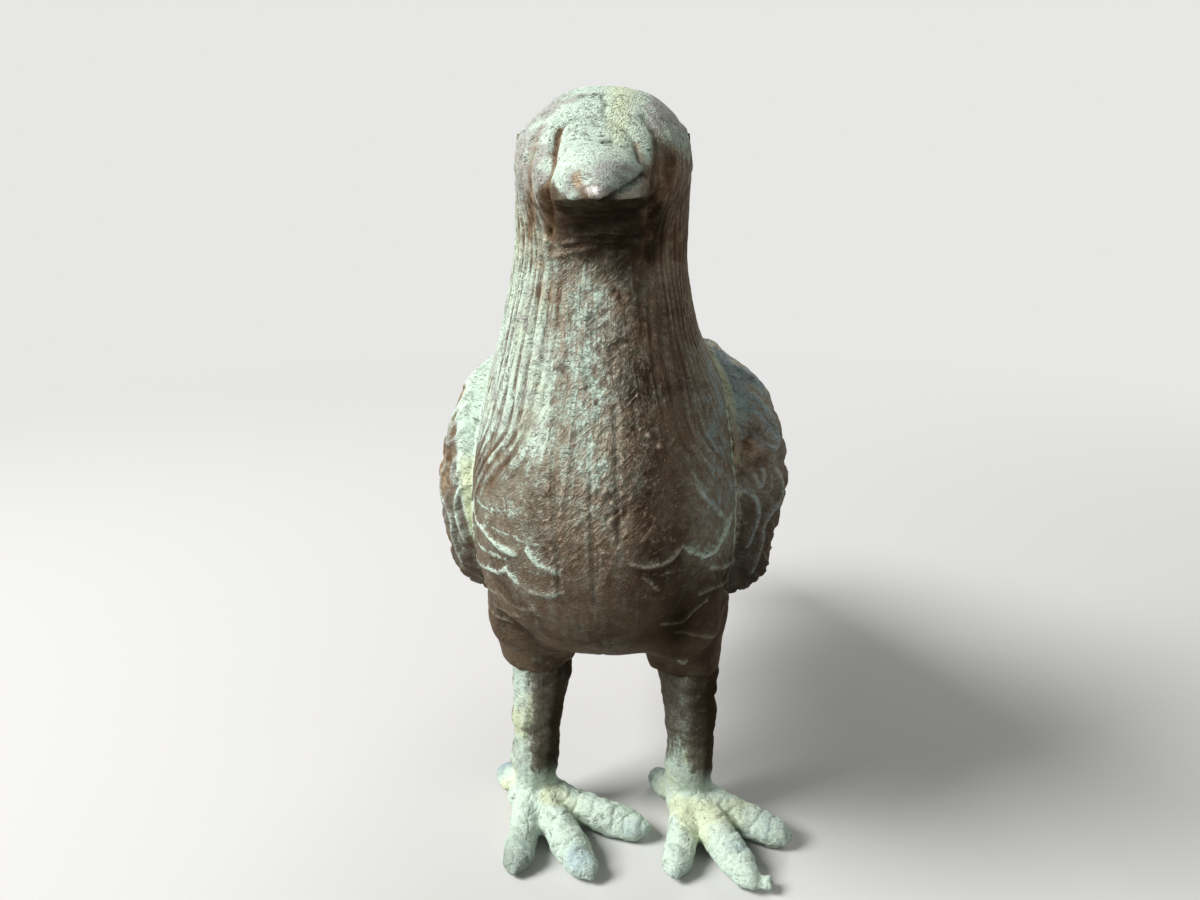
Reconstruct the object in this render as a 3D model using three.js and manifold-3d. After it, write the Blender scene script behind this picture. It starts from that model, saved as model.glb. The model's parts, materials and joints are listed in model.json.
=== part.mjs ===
// Cast bronze pigeon figurine, standing on its own two legs, in millimetres.
// The hollow body is cast as two half shells that meet along the middle of the bird.
// Both wings, the tail and both legs are castings of their own. Each leg stands in a
// socket in its thigh and is held there by a cross pin, and each eye is a domed bead.
// Here +Z is up, the bird faces -Y, and the bird's own left side is +X. Heights of the body,
// wings and tail are counted from the rims of the thigh cuffs, and those of a leg from the ground.
import * as THREE from "three";
import { mergeVertices } from "three/addons/utils/BufferGeometryUtils.js";
import Module from "manifold-3d";

const wasm = await Module();
wasm.setup();

// Main sizes
const legLength = 51;
const shoulderHeight = 91.5;
const crownHeight = 149;
const trunkHalfWidth = 33.5;
const neckHalfWidth = 20.6;
const headHalfWidth = 19.4;
const breastFront = -44;
const billTip = -59.3;
const rumpEnd = 97;
const rumpHeight = 37.6;
const tailLength = 38;

// Fits and walls
const wall = 3;
const seatGap = 0.3;
const boreGap = 0.25;

// How finely the skins are faceted
const bodyRings = 38;
const bodySides = 28;
const coreRings = 18;
const coreSides = 14;
const thighRings = 9;
const thighSides = 24;
const shankRings = 9;
const toeRings = 11;
const limbSides = 10;
const roundSides = 20;
const wingRings = 16;
const wingSides = 10;
const featherSteps = 4;
const tailRings = 9;

// A height on the neck, as a share of the way from the shoulders to the crown
const neckRise = (share) => shoulderHeight + (crownHeight - shoulderHeight) * share;

// The body skin from the rump, along the back and up the neck, over the crown to the bill.
// Each station is one cross-section: its point on the back line and on the front line as
// [y, z], half its width, where between the two it is widest, and how square it is.
const station = (back, front, halfWidth, widest, square) => ({ back, front, halfWidth, widest, square });
const bodyStations = [
  // Rump end, rump, lower back and middle back
  station([rumpEnd - 2, 44], [rumpEnd - 6, 33], 8, 0.5, 2),
  station([rumpEnd - 15, 52], [rumpEnd - 27, 24], 16.5, 0.52, 2),
  station([62, 65.5], [43, 14], trunkHalfWidth - 8.5, 0.52, 2.05),
  station([43, 77], [14, 7], trunkHalfWidth - 2.5, 0.48, 2.15),
  // Upper back, shoulders, breast and crop
  station([29, 85], [-14, 9], trunkHalfWidth, 0.48, 2.25),
  station([20, shoulderHeight], [breastFront + 10, 22], trunkHalfWidth, 0.5, 2.2),
  station([15.5, neckRise(0.11)], [breastFront, 42], trunkHalfWidth - 2.7, 0.5, 2.2),
  station([13, neckRise(0.23)], [breastFront, 62], neckHalfWidth + 5.8, 0.5, 2.15),
  // Lower neck, upper neck, throat and jaw
  station([11.5, neckRise(0.35)], [breastFront + 5.5, 80], neckHalfWidth + 2.1, 0.5, 2.1),
  station([10.5, neckRise(0.49)], [-32, neckRise(0.08)], neckHalfWidth, 0.5, 2.1),
  station([9, neckRise(0.65)], [-29, neckRise(0.3)], headHalfWidth + 0.4, 0.52, 2.2),
  station([4.5, crownHeight - 10], [-30, crownHeight - 33], headHalfWidth, 0.56, 2.25),
  // Cheeks, crown, forehead and brow
  station([-5.5, crownHeight - 2.5], [-32.5, crownHeight - 30], headHalfWidth - 0.2, 0.56, 2.25),
  station([-16.5, crownHeight], [-35, crownHeight - 28.5], headHalfWidth - 1, 0.54, 2.25),
  station([-28, crownHeight - 2.5], [-37.5, crownHeight - 27.5], headHalfWidth - 3.4, 0.5, 2.15),
  station([-36, crownHeight - 8.5], [-40.5, crownHeight - 27], headHalfWidth - 7, 0.48, 2.05),
  // Bill root, cere, bill and bill tip
  station([billTip + 17.8, crownHeight - 13], [billTip + 14.8, crownHeight - 26.7], 9.8, 0.48, 2),
  station([billTip + 11.3, crownHeight - 15], [billTip + 10.3, crownHeight - 26.4], 8, 0.48, 2),
  station([billTip + 5.3, crownHeight - 17.7], [billTip + 5.8, crownHeight - 25.9], 5.2, 0.48, 2),
  station([billTip + 1.3, crownHeight - 20.7], [billTip + 2.3, crownHeight - 25.2], 2.4, 0.5, 2),
];
const billPoint = [billTip, crownHeight - 23.6];

// The cavity runs between these two stations, and its ends taper over a part of a station.
const coreFrom = 1.2;
const coreTo = 13.6;
const coreTaper = 0.12;

// One thigh, from the cuff that the leg stands in up to inside the body, for the left side
const thighStations = [
  { centre: [19.6, 1, 0], halfWidth: 9, halfDepth: 9 },
  { centre: [19.6, 1.8, 5], halfWidth: 10.6, halfDepth: 11.4 },
  { centre: [19, 4, 12.5], halfWidth: 13, halfDepth: 16 },
  { centre: [17.8, 7.5, 23], halfWidth: 12.6, halfDepth: 19 },
  { centre: [15.5, 9.5, 33], halfWidth: 9, halfDepth: 14 },
];
// The legs and thighs stand a little to the bird's left of the middle of the body.
const stanceShift = 1;

// A leg: the tenon in the thigh, the shank, and the knot where the toes meet
const tenonRadius = 4.8;
const tenonLength = 13;
const tenonRoot = 2;
const shankTopRadius = 8;
const shankMiddleRadius = 6;
const shankBottomRadius = 6;
const footAcross = 22.9;
const footAlong = -0.5;
const ankleHeight = 8.2;
const knotHeight = 5.6;
const knotRadius = 7.4;
const knotFlatness = 0.92;

// Toes, each with its bearing from straight ahead towards the bird's left, and its length.
// rise is the height of its root. Both feet are cast from one pattern and turn the same way.
const toes = [
  { name: "inner toe", bearing: -9, length: 29, radius: 4.5, tipRadius: 3.8, rise: 7.6 },
  { name: "middle toe", bearing: 28, length: 35, radius: 4.9, tipRadius: 4, rise: 7.6 },
  { name: "outer toe", bearing: 67, length: 31, radius: 4.8, tipRadius: 4.1, rise: 7.8 },
  { name: "hind toe", bearing: 215, length: 18.5, radius: 4.2, tipRadius: 3.4, rise: 8.6 },
];
const clawLength = 4.4;
const clawRadius = 1.6;
// How deep the toes are ground flat underneath
const soleCut = 0.9;
// The right foot is turned further, and its outer toe is drawn out to the left foot.
const leftFootTurn = -0.5;
const rightFootTurn = 5;
const rightOuterLength = 36.5;

// Cross pin through thigh and tenon, running from front to back
const pinRadius = 1.6;
const pinLength = 24;
const pinRise = 6.2;

// Eyes: the place on the skin, as a station and a turn in degrees, and the bead
const eyeStation = 12.35;
const eyeTurn = 89;
const eyeRadius = 3.2;
const eyeDome = 1.2;
const eyeRim = 0.2;
const eyeShank = 2;

// The tail fan, with along and rise counted from the rump's end, and the tongue that seats it
const tailStations = [
  { along: -13, rise: 4.4, halfWidth: 11, thickness: 7.5, camber: 3.5 },
  { along: -3, rise: 2.4, halfWidth: 15, thickness: 8, camber: 4 },
  { along: tailLength * 0.24, rise: -2.1, halfWidth: 17.5, thickness: 6.5, camber: 3.5 },
  { along: tailLength * 0.6, rise: -7.2, halfWidth: 20, thickness: 5.2, camber: 3 },
  { along: tailLength, rise: -12.6, halfWidth: 22, thickness: 4.2, camber: 2.4 },
];
const tailEdgeShare = 0.35;
const tailFeathers = 8;
const tailFeatherRound = 3.4;
const tailFeatherCamber = 0.8;
const tongueLength = 13;
const tongueHalfWidth = 5;
const tongueThickness = 3.4;
const tongueRise = 1.2;
const tongueRoot = 4;

// The left wing as cross-sections from its leading edge to its tip. Each has its upper and
// lower point as [x, y, z], how far it bulges outwards, how far it bows forwards, and how
// deep it reaches in towards the body.
const wingStations = [
  { upper: [19, 5, 85], lower: [30, 2, 22], bulge: 7, bow: 20, depth: 9 },
  { upper: [21.5, 8, 88.5], lower: [32.5, 6, 19.5], bulge: 15, bow: 20, depth: 14 },
  { upper: [21, 16, 89.5], lower: [33, 14, 17.6], bulge: 18.3, bow: 17, depth: 17 },
  { upper: [17, 31, 84], lower: [33, 29, 16.5], bulge: 20, bow: 11, depth: 18 },
  { upper: [13, 50, 73.5], lower: [30, 50, 16.5], bulge: 19.5, bow: 5, depth: 18 },
  { upper: [10.5, 72, 62], lower: [24.5, 72, 20], bulge: 15.5, bow: 2, depth: 16 },
  { upper: [9.5, 92, 52], lower: [20.5, 92, 29], bulge: 10, bow: 0, depth: 11 },
  { upper: [10, 110, 44.5], lower: [16.5, 111, 36], bulge: 5, bow: 0, depth: 6 },
];
const wingTip = [12, 124, 36];

// Feathers of the wing: primaries, secondaries, coverts, and the small coverts over them.
// Each row is a plate with round feather ends. from and to are its ends along the wing, and
// slant is how much sooner its lower end stops. upper and lower are its shares of the wing's
// height, lift is how far its ends stand out, and sink is how deep it is rooted in the wing.
const featherRows = [
  { count: 5, from: 3.1, to: 7.1, slant: 1.5, upper: 0.5, lower: 0.95, lift: 0.8, sink: 0.8 },
  { count: 5, from: 2.1, to: 5.9, slant: 1.1, upper: 0.07, lower: 0.66, lift: 1.1, sink: 1.1 },
  { count: 6, from: 1.3, to: 3.7, slant: 0.3, upper: 0.1, lower: 0.9, lift: 1.5, sink: 1.4 },
  { count: 5, from: 1.1, to: 2.4, slant: 0.1, upper: 0.13, lower: 0.86, lift: 1.9, sink: 1.7 },
];
const featherRound = 0.42;
const featherCamber = 0.4;
const featherRootShare = 0.35;
const columnsPerFeather = 4;

// Larger than the whole bird, for cutting it in two and for cutting its soles flat
const far = 400;

const bronze = new THREE.MeshStandardMaterial({ color: 0x6b5a48, roughness: 0.55, metalness: 0.8 });
const patina = new THREE.MeshStandardMaterial({ color: 0xa9c4ae, roughness: 0.8, metalness: 0.2 });
const pinMetal = new THREE.MeshStandardMaterial({ color: 0x5b5e4c, roughness: 0.6, metalness: 0.7 });
const amber = new THREE.MeshStandardMaterial({ color: 0x8a5a2a, roughness: 0.45, metalness: 0.6 });

// A closed three.js geometry as a solid that can be joined and cut
function solidOf(geometry) {
  const bare = geometry.index ? geometry.toNonIndexed() : geometry.clone();
  bare.deleteAttribute("normal");
  bare.deleteAttribute("uv");
  const merged = mergeVertices(bare, 1e-4);
  return new wasm.Manifold(
    new wasm.Mesh({
      numProp: 3,
      vertProperties: new Float32Array(merged.attributes.position.array),
      triVerts: new Uint32Array(merged.index.array),
    }),
  );
}

// A solid as a named mesh, mirrored to the bird's other side if asked
function meshOf(solid, name, material, mirrored = false) {
  const made = solid.getMesh();
  const geometry = new THREE.BufferGeometry();
  const points = new Float32Array(made.numVert * 3);
  for (let i = 0; i < made.numVert; i++) {
    points.set(made.vertProperties.subarray(i * made.numProp, i * made.numProp + 3), i * 3);
  }
  geometry.setAttribute("position", new THREE.BufferAttribute(points, 3));
  const faces = mirrored ? made.triVerts.toReversed() : made.triVerts;
  geometry.setIndex(new THREE.BufferAttribute(faces, 1));
  if (mirrored) geometry.scale(-1, 1, 1);
  geometry.computeVertexNormals();
  const mesh = new THREE.Mesh(geometry, material);
  mesh.name = name;
  return mesh;
}

// Points and triangles as a solid, with its faces turned outwards
function closedSolid(points, faces) {
  const signed = new THREE.Vector3();
  let volume = 0;
  for (let i = 0; i < faces.length; i += 3) {
    const [a, b, c] = [points[faces[i]], points[faces[i + 1]], points[faces[i + 2]]];
    volume += a.dot(signed.crossVectors(b, c));
  }
  const geometry = new THREE.BufferGeometry();
  const flat = new Float32Array(points.flatMap((p) => [p.x, p.y, p.z]));
  geometry.setAttribute("position", new THREE.BufferAttribute(flat, 3));
  geometry.setIndex(volume > 0 ? faces : faces.toReversed());
  return solidOf(geometry);
}

// Skins a list of equally long rings of points and closes it with a point at each end
function skinOf(rings, firstPoint, lastPoint) {
  const sides = rings[0].length;
  const points = rings.flat();
  points.push(firstPoint, lastPoint);
  const first = points.length - 2;
  const last = points.length - 1;
  const faces = [];
  for (let r = 0; r + 1 < rings.length; r++) {
    for (let k = 0; k < sides; k++) {
      const a = r * sides + k;
      const b = r * sides + ((k + 1) % sides);
      faces.push(a, b, a + sides, b, b + sides, a + sides);
    }
  }
  const end = (rings.length - 1) * sides;
  for (let k = 0; k < sides; k++) {
    const next = (k + 1) % sides;
    faces.push(first, next, k);
    faces.push(last, end + k, end + next);
  }
  return closedSolid(points, faces);
}

// A smooth curve through evenly numbered values, read at a fractional number
function along(values, s) {
  const last = values.length - 1;
  const i = Math.min(Math.max(Math.floor(s), 0), last - 1);
  const t = s - i;
  const near = [i - 1, i, i + 1, i + 2].map((k) => values[Math.min(Math.max(k, 0), last)]);
  const [p0, p1, p2, p3] = near;
  const slopeIn = (p2 - p0) / 2;
  const slopeOut = (p3 - p1) / 2;
  return (
    (2 * t ** 3 - 3 * t ** 2 + 1) * p1 +
    (t ** 3 - 2 * t ** 2 + t) * slopeIn +
    (3 * t ** 2 - 2 * t ** 3) * p2 +
    (t ** 3 - t ** 2) * slopeOut
  );
}

// A sine or cosine bent so that a circle becomes a squarer oval
function rounded(value, square) {
  return Math.sign(value) * Math.abs(value) ** (2 / square);
}

// A point on the body skin, or on a skin that lies grown outwards from it.
// s counts stations, turn goes round from the back line, over the left side, to the front line.
function bodyPoint(s, turn, grown = 0) {
  const read = (pick) => along(bodyStations.map(pick), s);
  const back = new THREE.Vector3(0, read((b) => b.back[0]), read((b) => b.back[1]));
  const front = new THREE.Vector3(0, read((b) => b.front[0]), read((b) => b.front[1]));
  const across = back.clone().sub(front);
  const depth = across.length();
  const outwards = across.normalize();
  const widest = read((b) => b.widest);
  const square = read((b) => b.square);
  const centre = front.clone().addScaledVector(outwards, depth * widest);
  const halfWidth = read((b) => b.halfWidth) + grown;
  const reach = Math.cos(turn) > 0 ? depth * (1 - widest) + grown : depth * widest + grown;
  const point = centre.addScaledVector(outwards, reach * rounded(Math.cos(turn), square));
  point.x = halfWidth * rounded(Math.sin(turn), square);
  return point;
}

// The body's cross-sections between two stations as one closed skin
function bodySkin({ grown, from, to, rings, sides, firstPoint, lastPoint }) {
  const made = [];
  for (let r = 0; r <= rings; r++) {
    const s = from + ((to - from) * r) / rings;
    const ring = [];
    for (let k = 0; k < sides; k++) ring.push(bodyPoint(s, (2 * Math.PI * k) / sides, grown));
    made.push(ring);
  }
  return skinOf(made, firstPoint, lastPoint);
}

// The outside of the body, or one that lies grown outwards from it
function outerBody(grown) {
  return bodySkin({
    grown,
    from: 0,
    to: bodyStations.length - 1,
    rings: bodyRings,
    sides: bodySides,
    firstPoint: new THREE.Vector3(0, rumpEnd + grown, rumpHeight),
    lastPoint: new THREE.Vector3(0, billPoint[0] - grown, billPoint[1]),
  });
}

// The hollow inside the body
function bodyCore() {
  const middle = (s) => bodyPoint(s, 0, -wall).add(bodyPoint(s, Math.PI, -wall)).multiplyScalar(0.5);
  return bodySkin({
    grown: -wall,
    from: coreFrom,
    to: coreTo,
    rings: coreRings,
    sides: coreSides,
    firstPoint: middle(coreFrom - coreTaper),
    lastPoint: middle(coreTo + coreTaper),
  });
}

// A thigh as oval rings stacked along its stations, flat at both ends
function thigh(side, grown) {
  const last = thighStations.length - 1;
  const read = (s, pick) => along(thighStations.map(pick), s);
  const centreAt = (s) => {
    const [x, y, z] = [0, 1, 2].map((axis) => read(s, (t) => t.centre[axis]));
    return new THREE.Vector3(side * x + stanceShift, y, z);
  };
  const rings = Array.from({ length: thighRings + 1 }, (_, r) => {
    const s = (last * r) / thighRings;
    const across = read(s, (t) => t.halfWidth) + grown;
    const deep = read(s, (t) => t.halfDepth) + grown;
    return Array.from({ length: thighSides }, (_, k) => {
      const turn = (2 * Math.PI * k) / thighSides;
      return centreAt(s).add(new THREE.Vector3(across * Math.cos(turn), deep * Math.sin(turn), 0));
    });
  });
  return skinOf(rings, centreAt(0), centreAt(last));
}

// A round limb through points with their own radii, with its ends closed by a point
function limb(path, radii, rings) {
  const curve = new THREE.CatmullRomCurve3(path);
  const frames = curve.computeFrenetFrames(rings, false);
  const made = [];
  for (let r = 0; r <= rings; r++) {
    const u = r / rings;
    const centre = curve.getPoint(u);
    const tangent = curve.getTangent(u);
    const normal = frames.normals[r].clone();
    normal.addScaledVector(tangent, -normal.dot(tangent)).normalize();
    const binormal = tangent.clone().cross(normal);
    const radius = along(radii, u * (radii.length - 1));
    const ring = [];
    for (let k = 0; k < limbSides; k++) {
      const turn = (2 * Math.PI * k) / limbSides;
      ring.push(
        centre
          .clone()
          .addScaledVector(normal, radius * Math.cos(turn))
          .addScaledVector(binormal, radius * Math.sin(turn)),
      );
    }
    made.push(ring);
  }
  return skinOf(made, curve.getPoint(0), curve.getPoint(1));
}

// A cylinder along the z or y axis
function rod(radius, length, centre, axis) {
  const geometry = new THREE.CylinderGeometry(radius, radius, length, roundSides);
  if (axis === "z") geometry.rotateX(Math.PI / 2);
  geometry.translate(centre.x, centre.y, centre.z);
  return solidOf(geometry);
}

// A box between two corners
function block(low, high) {
  const size = high.clone().sub(low);
  const middle = low.clone().add(high).multiplyScalar(0.5);
  const geometry = new THREE.BoxGeometry(size.x, size.y, size.z);
  geometry.translate(middle.x, middle.y, middle.z);
  return solidOf(geometry);
}

// The middle of the cuff's rim, where the tenon enters the thigh
function cuffCentre(side) {
  const [x, y, z] = thighStations[0].centre;
  return new THREE.Vector3(side * x + stanceShift, y, z);
}

// A rod along the cross pin's line, above the rim of the cuff at the given height
function pinRod(side, rimHeight, radius, length) {
  const centre = cuffCentre(side);
  centre.z += rimHeight + pinRise;
  return rod(radius, length, centre, "y");
}

// The middle of the foot on the ground
function footCentre(side) {
  return new THREE.Vector3(side * footAcross + stanceShift, footAlong, 0);
}

// A toe from the knot of the foot to the point of its claw
function toe(side, { bearing, length, radius, tipRadius, rise }) {
  const turn = THREE.MathUtils.degToRad(bearing + (side > 0 ? leftFootTurn : rightFootTurn));
  const ahead = new THREE.Vector3(Math.sin(turn), -Math.cos(turn), 0);
  const at = (reach, height) => footCentre(side).addScaledVector(ahead, reach).setZ(height);
  const path = [
    at(0, rise),
    at(length * 0.3, rise - 1.4),
    at(length * 0.62, radius - soleCut + 0.4),
    at(length * 0.86, tipRadius - soleCut + 0.3),
    at(length - clawLength / 2, tipRadius - soleCut),
    at(length, clawRadius),
  ];
  const radii = [radius, radius, radius * 1.03, tipRadius * 1.08, tipRadius * 0.78, clawRadius * 0.55];
  return limb(path, radii, toeRings);
}

// A leg, standing on the ground
function leg(side) {
  const top = cuffCentre(side);
  top.z += legLength - seatGap;
  const ankle = footCentre(side).setZ(ankleHeight);
  const rough = limb(
    [top.clone().setZ(top.z + tenonRoot), top.clone().lerp(ankle, 0.5), ankle],
    [shankTopRadius, shankMiddleRadius, shankBottomRadius],
    shankRings,
  );
  const shank = rough.subtract(block(new THREE.Vector3(-far, -far, top.z), new THREE.Vector3(far, far, far)));
  const knot = new THREE.SphereGeometry(knotRadius, 16, 12);
  knot.scale(1, 1, knotFlatness);
  knot.translate(ankle.x, ankle.y, knotHeight);
  const tenonMiddle = top.clone().setZ(top.z + (tenonLength - tenonRoot) / 2);
  const tenon = rod(tenonRadius, tenonLength + tenonRoot, tenonMiddle, "z");
  const pinHole = pinRod(side, legLength, pinRadius + boreGap, pinLength * 2);
  const underground = block(new THREE.Vector3(-far, -far, -far), new THREE.Vector3(far, far, 0));
  let made = shank.add(solidOf(knot)).add(tenon);
  for (const one of toes) {
    const drawnOut = side < 0 && one.name === "outer toe";
    made = made.add(toe(side, drawnOut ? { ...one, length: rightOuterLength } : one));
  }
  return made.subtract(underground).subtract(pinHole);
}

// Where an eye sits on the skin, and which way it looks
function eyeSeat(side) {
  const turn = THREE.MathUtils.degToRad(eyeTurn);
  const step = 0.02;
  const centre = bodyPoint(eyeStation, turn);
  const lengthways = bodyPoint(eyeStation + step, turn).sub(centre);
  const roundabout = bodyPoint(eyeStation, turn + step).sub(centre);
  const outwards = lengthways.cross(roundabout).normalize();
  if (outwards.x < 0) outwards.negate();
  centre.x *= side;
  outwards.x *= side;
  return { centre, outwards };
}

// A profile of [radius, height] points turned about the line that the eye looks along
function turned(profile, side) {
  const { centre, outwards } = eyeSeat(side);
  const geometry = new THREE.LatheGeometry(profile.map(([r, h]) => new THREE.Vector2(r, h)), roundSides);
  geometry.applyQuaternion(new THREE.Quaternion().setFromUnitVectors(new THREE.Vector3(0, 1, 0), outwards));
  geometry.translate(centre.x, centre.y, centre.z);
  return solidOf(geometry);
}

function eye(side) {
  const bottom = seatGap - eyeShank;
  const steps = 5;
  const dome = Array.from({ length: steps }, (_, i) => {
    const turn = (Math.PI / 2) * (i / steps);
    return [eyeRadius * Math.cos(turn), eyeRim + eyeDome * Math.sin(turn)];
  });
  return turned([[0, bottom], [eyeRadius, bottom], ...dome, [0, eyeRim + eyeDome]], side);
}

function eyeSocket(side) {
  const radius = eyeRadius + boreGap;
  const mouth = 3 * eyeRadius;
  return turned([[0, -eyeShank], [radius, -eyeShank], [radius, mouth], [0, mouth]], side);
}

// A point on the upper or lower face of the tail. across runs from -1 to 1.
function tailPoint(s, across, face, grown) {
  const read = (pick) => along(tailStations.map(pick), s);
  const halfWidth = read((t) => t.halfWidth) + grown;
  const halfThickness = read((t) => t.thickness) / 2 + grown;
  const thinning = tailEdgeShare + (1 - tailEdgeShare) * Math.sqrt(Math.max(0, 1 - across ** 4));
  const middle = rumpHeight + read((t) => t.rise) - read((t) => t.camber) * across ** 2;
  const height = middle + face * halfThickness * thinning;
  return new THREE.Vector3(across * halfWidth, rumpEnd + read((t) => t.along), height);
}

// A closed plate between an upper and a lower grid of points
function plateOf(upper, lower) {
  const rows = upper.length;
  const columns = upper[0].length;
  const points = [...upper.flat(), ...lower.flat()];
  const under = rows * columns;
  const at = (r, k) => r * columns + k;
  const faces = [];
  const quad = (a, b, c, d) => faces.push(a, b, c, a, c, d);
  for (let r = 0; r + 1 < rows; r++) {
    for (let k = 0; k + 1 < columns; k++) {
      quad(at(r, k), at(r, k + 1), at(r + 1, k + 1), at(r + 1, k));
      quad(under + at(r, k), under + at(r + 1, k), under + at(r + 1, k + 1), under + at(r, k + 1));
    }
    quad(at(r, 0), at(r + 1, 0), under + at(r + 1, 0), under + at(r, 0));
    const end = columns - 1;
    quad(at(r + 1, end), at(r, end), under + at(r, end), under + at(r + 1, end));
  }
  for (let k = 0; k + 1 < columns; k++) {
    quad(at(0, k + 1), at(0, k), under + at(0, k), under + at(0, k + 1));
    const end = rows - 1;
    quad(at(end, k), at(end, k + 1), under + at(end, k + 1), under + at(end, k));
  }
  return closedSolid(points, faces);
}

// How round a feather end is: 1 on its quill, down to 0 between two feathers
function roundEnd(share, count) {
  const across = 2 * (share * count - Math.floor(share * count)) - 1;
  const inside = share <= 0 || share >= 1 ? 1 : Math.abs(across);
  return Math.sqrt(Math.max(0, 1 - inside ** 2));
}

// The fan of the tail, or the space around it that the wing tips keep clear of
function tailFan(grown) {
  const last = tailStations.length - 1;
  const columns = tailFeathers * columnsPerFeather;
  const grid = (face) =>
    Array.from({ length: tailRings + 1 }, (_, r) =>
      Array.from({ length: columns + 1 }, (_, k) => {
        const u = r / tailRings;
        const round = roundEnd(k / columns, tailFeathers);
        const point = tailPoint(last * u, (2 * k) / columns - 1, face, grown);
        point.y += (tailFeatherRound * round + grown) * u ** 4;
        if (face > 0) point.z += tailFeatherCamber * round * Math.min(1, last * u);
        return point;
      }),
    );
  return plateOf(grid(1), grid(-1));
}

// The tongue that seats the tail in the rump, or the slot that takes it
function tongue(gap, outwards) {
  const middle = rumpHeight + tongueRise;
  const halfWidth = tongueHalfWidth + gap;
  const halfThickness = tongueThickness / 2 + gap;
  return block(
    new THREE.Vector3(-halfWidth, rumpEnd - tongueLength - gap, middle - halfThickness),
    new THREE.Vector3(halfWidth, rumpEnd + outwards, middle + halfThickness),
  );
}

function tail() {
  return tailFan(0).subtract(outerBody(seatGap)).add(tongue(0, tongueRoot));
}

// A point on the outside of the left wing. t runs from its upper to its lower edge.
function wingPoint(s, t, lift = 0) {
  const read = (pick) => along(wingStations.map(pick), s);
  const turn = Math.acos(1 - 2 * t);
  const fullerAbove = 1.15 - 0.4 * t;
  const bulge = read((w) => w.bulge) * Math.sin(turn) ** 0.9 * fullerAbove;
  const bow = read((w) => w.bow) * Math.sin(turn) ** 1.4;
  const [x, y, z] = [0, 1, 2].map((axis) => {
    const upper = read((w) => w.upper[axis]);
    return upper + (read((w) => w.lower[axis]) - upper) * t;
  });
  const outwards = new THREE.Vector3(1, 0, 0.25 * Math.cos(turn)).normalize();
  return new THREE.Vector3(x, y - bow, z).addScaledVector(outwards, bulge + lift);
}

// One row of feathers as a plate on the wing with round feather ends
function featherRow({ count, from, to, slant, upper, lower, lift, sink }) {
  const columns = count * columnsPerFeather;
  const grid = (face) =>
    Array.from({ length: featherSteps + 1 }, (_, r) =>
      Array.from({ length: columns + 1 }, (_, k) => {
        const share = k / columns;
        const round = roundEnd(share, count);
        const end = to - slant * share - featherRound * (1 - round);
        const u = (r / featherSteps) ** 0.8;
        const rising = featherRootShare + (1 - featherRootShare) * u;
        const raised = lift * rising * (1 - featherCamber * (1 - round));
        return wingPoint(from + (end - from) * u, upper + (lower - upper) * share, face > 0 ? raised : -sink);
      }),
    );
  return plateOf(grid(1), grid(-1));
}

// The left wing, cut to sit on the body, beside the thigh and over the tail
function wing() {
  const last = wingStations.length - 1;
  const depthAt = (s) => along(wingStations.map((w) => w.depth), s);
  const rings = Array.from({ length: wingRings + 1 }, (_, r) => {
    const s = (last * r) / wingRings;
    const outside = Array.from({ length: wingSides + 1 }, (_, k) =>
      wingPoint(s, (1 - Math.cos((Math.PI * k) / wingSides)) / 2),
    );
    const inside = [0.85, 0.5, 0.15].map((t) => wingPoint(s, t, -depthAt(s)));
    return [...outside, ...inside];
  });
  const front = wingPoint(0, 0.5, -depthAt(0) / 2);
  let made = skinOf(rings, front, new THREE.Vector3(...wingTip));
  for (const row of featherRows) made = made.add(featherRow(row));
  return made.subtract(outerBody(seatGap)).subtract(thigh(1, seatGap)).subtract(tailFan(seatGap));
}

// One half shell of the body, with thighs, leg sockets, pin holes, eye sockets and tail slot
function bodyHalf(side) {
  let made = outerBody(0).add(thigh(1, 0)).add(thigh(-1, 0));
  made = made.subtract(bodyCore()).subtract(tongue(boreGap, far));
  for (const one of [-1, 1]) {
    const socket = rod(tenonRadius + boreGap, tenonLength * 2, cuffCentre(one), "z");
    made = made.subtract(socket);
    made = made.subtract(pinRod(one, 0, pinRadius + boreGap, pinLength * 2));
    made = made.subtract(eyeSocket(one));
  }
  const low = new THREE.Vector3(side > 0 ? 0 : -far, -far, -far);
  const high = new THREE.Vector3(side > 0 ? far : 0, far, far);
  return made.intersect(block(low, high));
}

// The body and all that it carries stand on the legs.
const bird = new THREE.Group();
const carried = new THREE.Group();
carried.position.z = legLength;
for (const [side, name] of [[1, "left"], [-1, "right"]]) {
  carried.add(meshOf(bodyHalf(side), "body_" + name, bronze));
  carried.add(meshOf(wing(), "wing_" + name, bronze, side < 0));
  carried.add(meshOf(pinRod(side, 0, pinRadius, pinLength), "leg_pin_" + name, pinMetal));
  carried.add(meshOf(eye(side), "eye_" + name, amber));
  bird.add(meshOf(leg(side), "leg_" + name, patina));
}
carried.add(meshOf(tail(), "tail", bronze));
bird.add(carried);

// The origin is on the ground, under the middle of the whole bird.
const bounds = new THREE.Box3().setFromObject(bird);
const middle = bounds.getCenter(new THREE.Vector3());
bird.position.set(-middle.x, -middle.y, -bounds.min.z);

export default bird;
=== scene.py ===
# %% [markdown]
# # A cast bronze pigeon
#
# This lesson finishes a small sand-cast pigeon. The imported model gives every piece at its
# real size. Here each piece gets the skin that a rough casting has: feathers modelled in
# wax, grooves cut with a tool, grain left by the sand, and a green and rust-brown patina.

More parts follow.
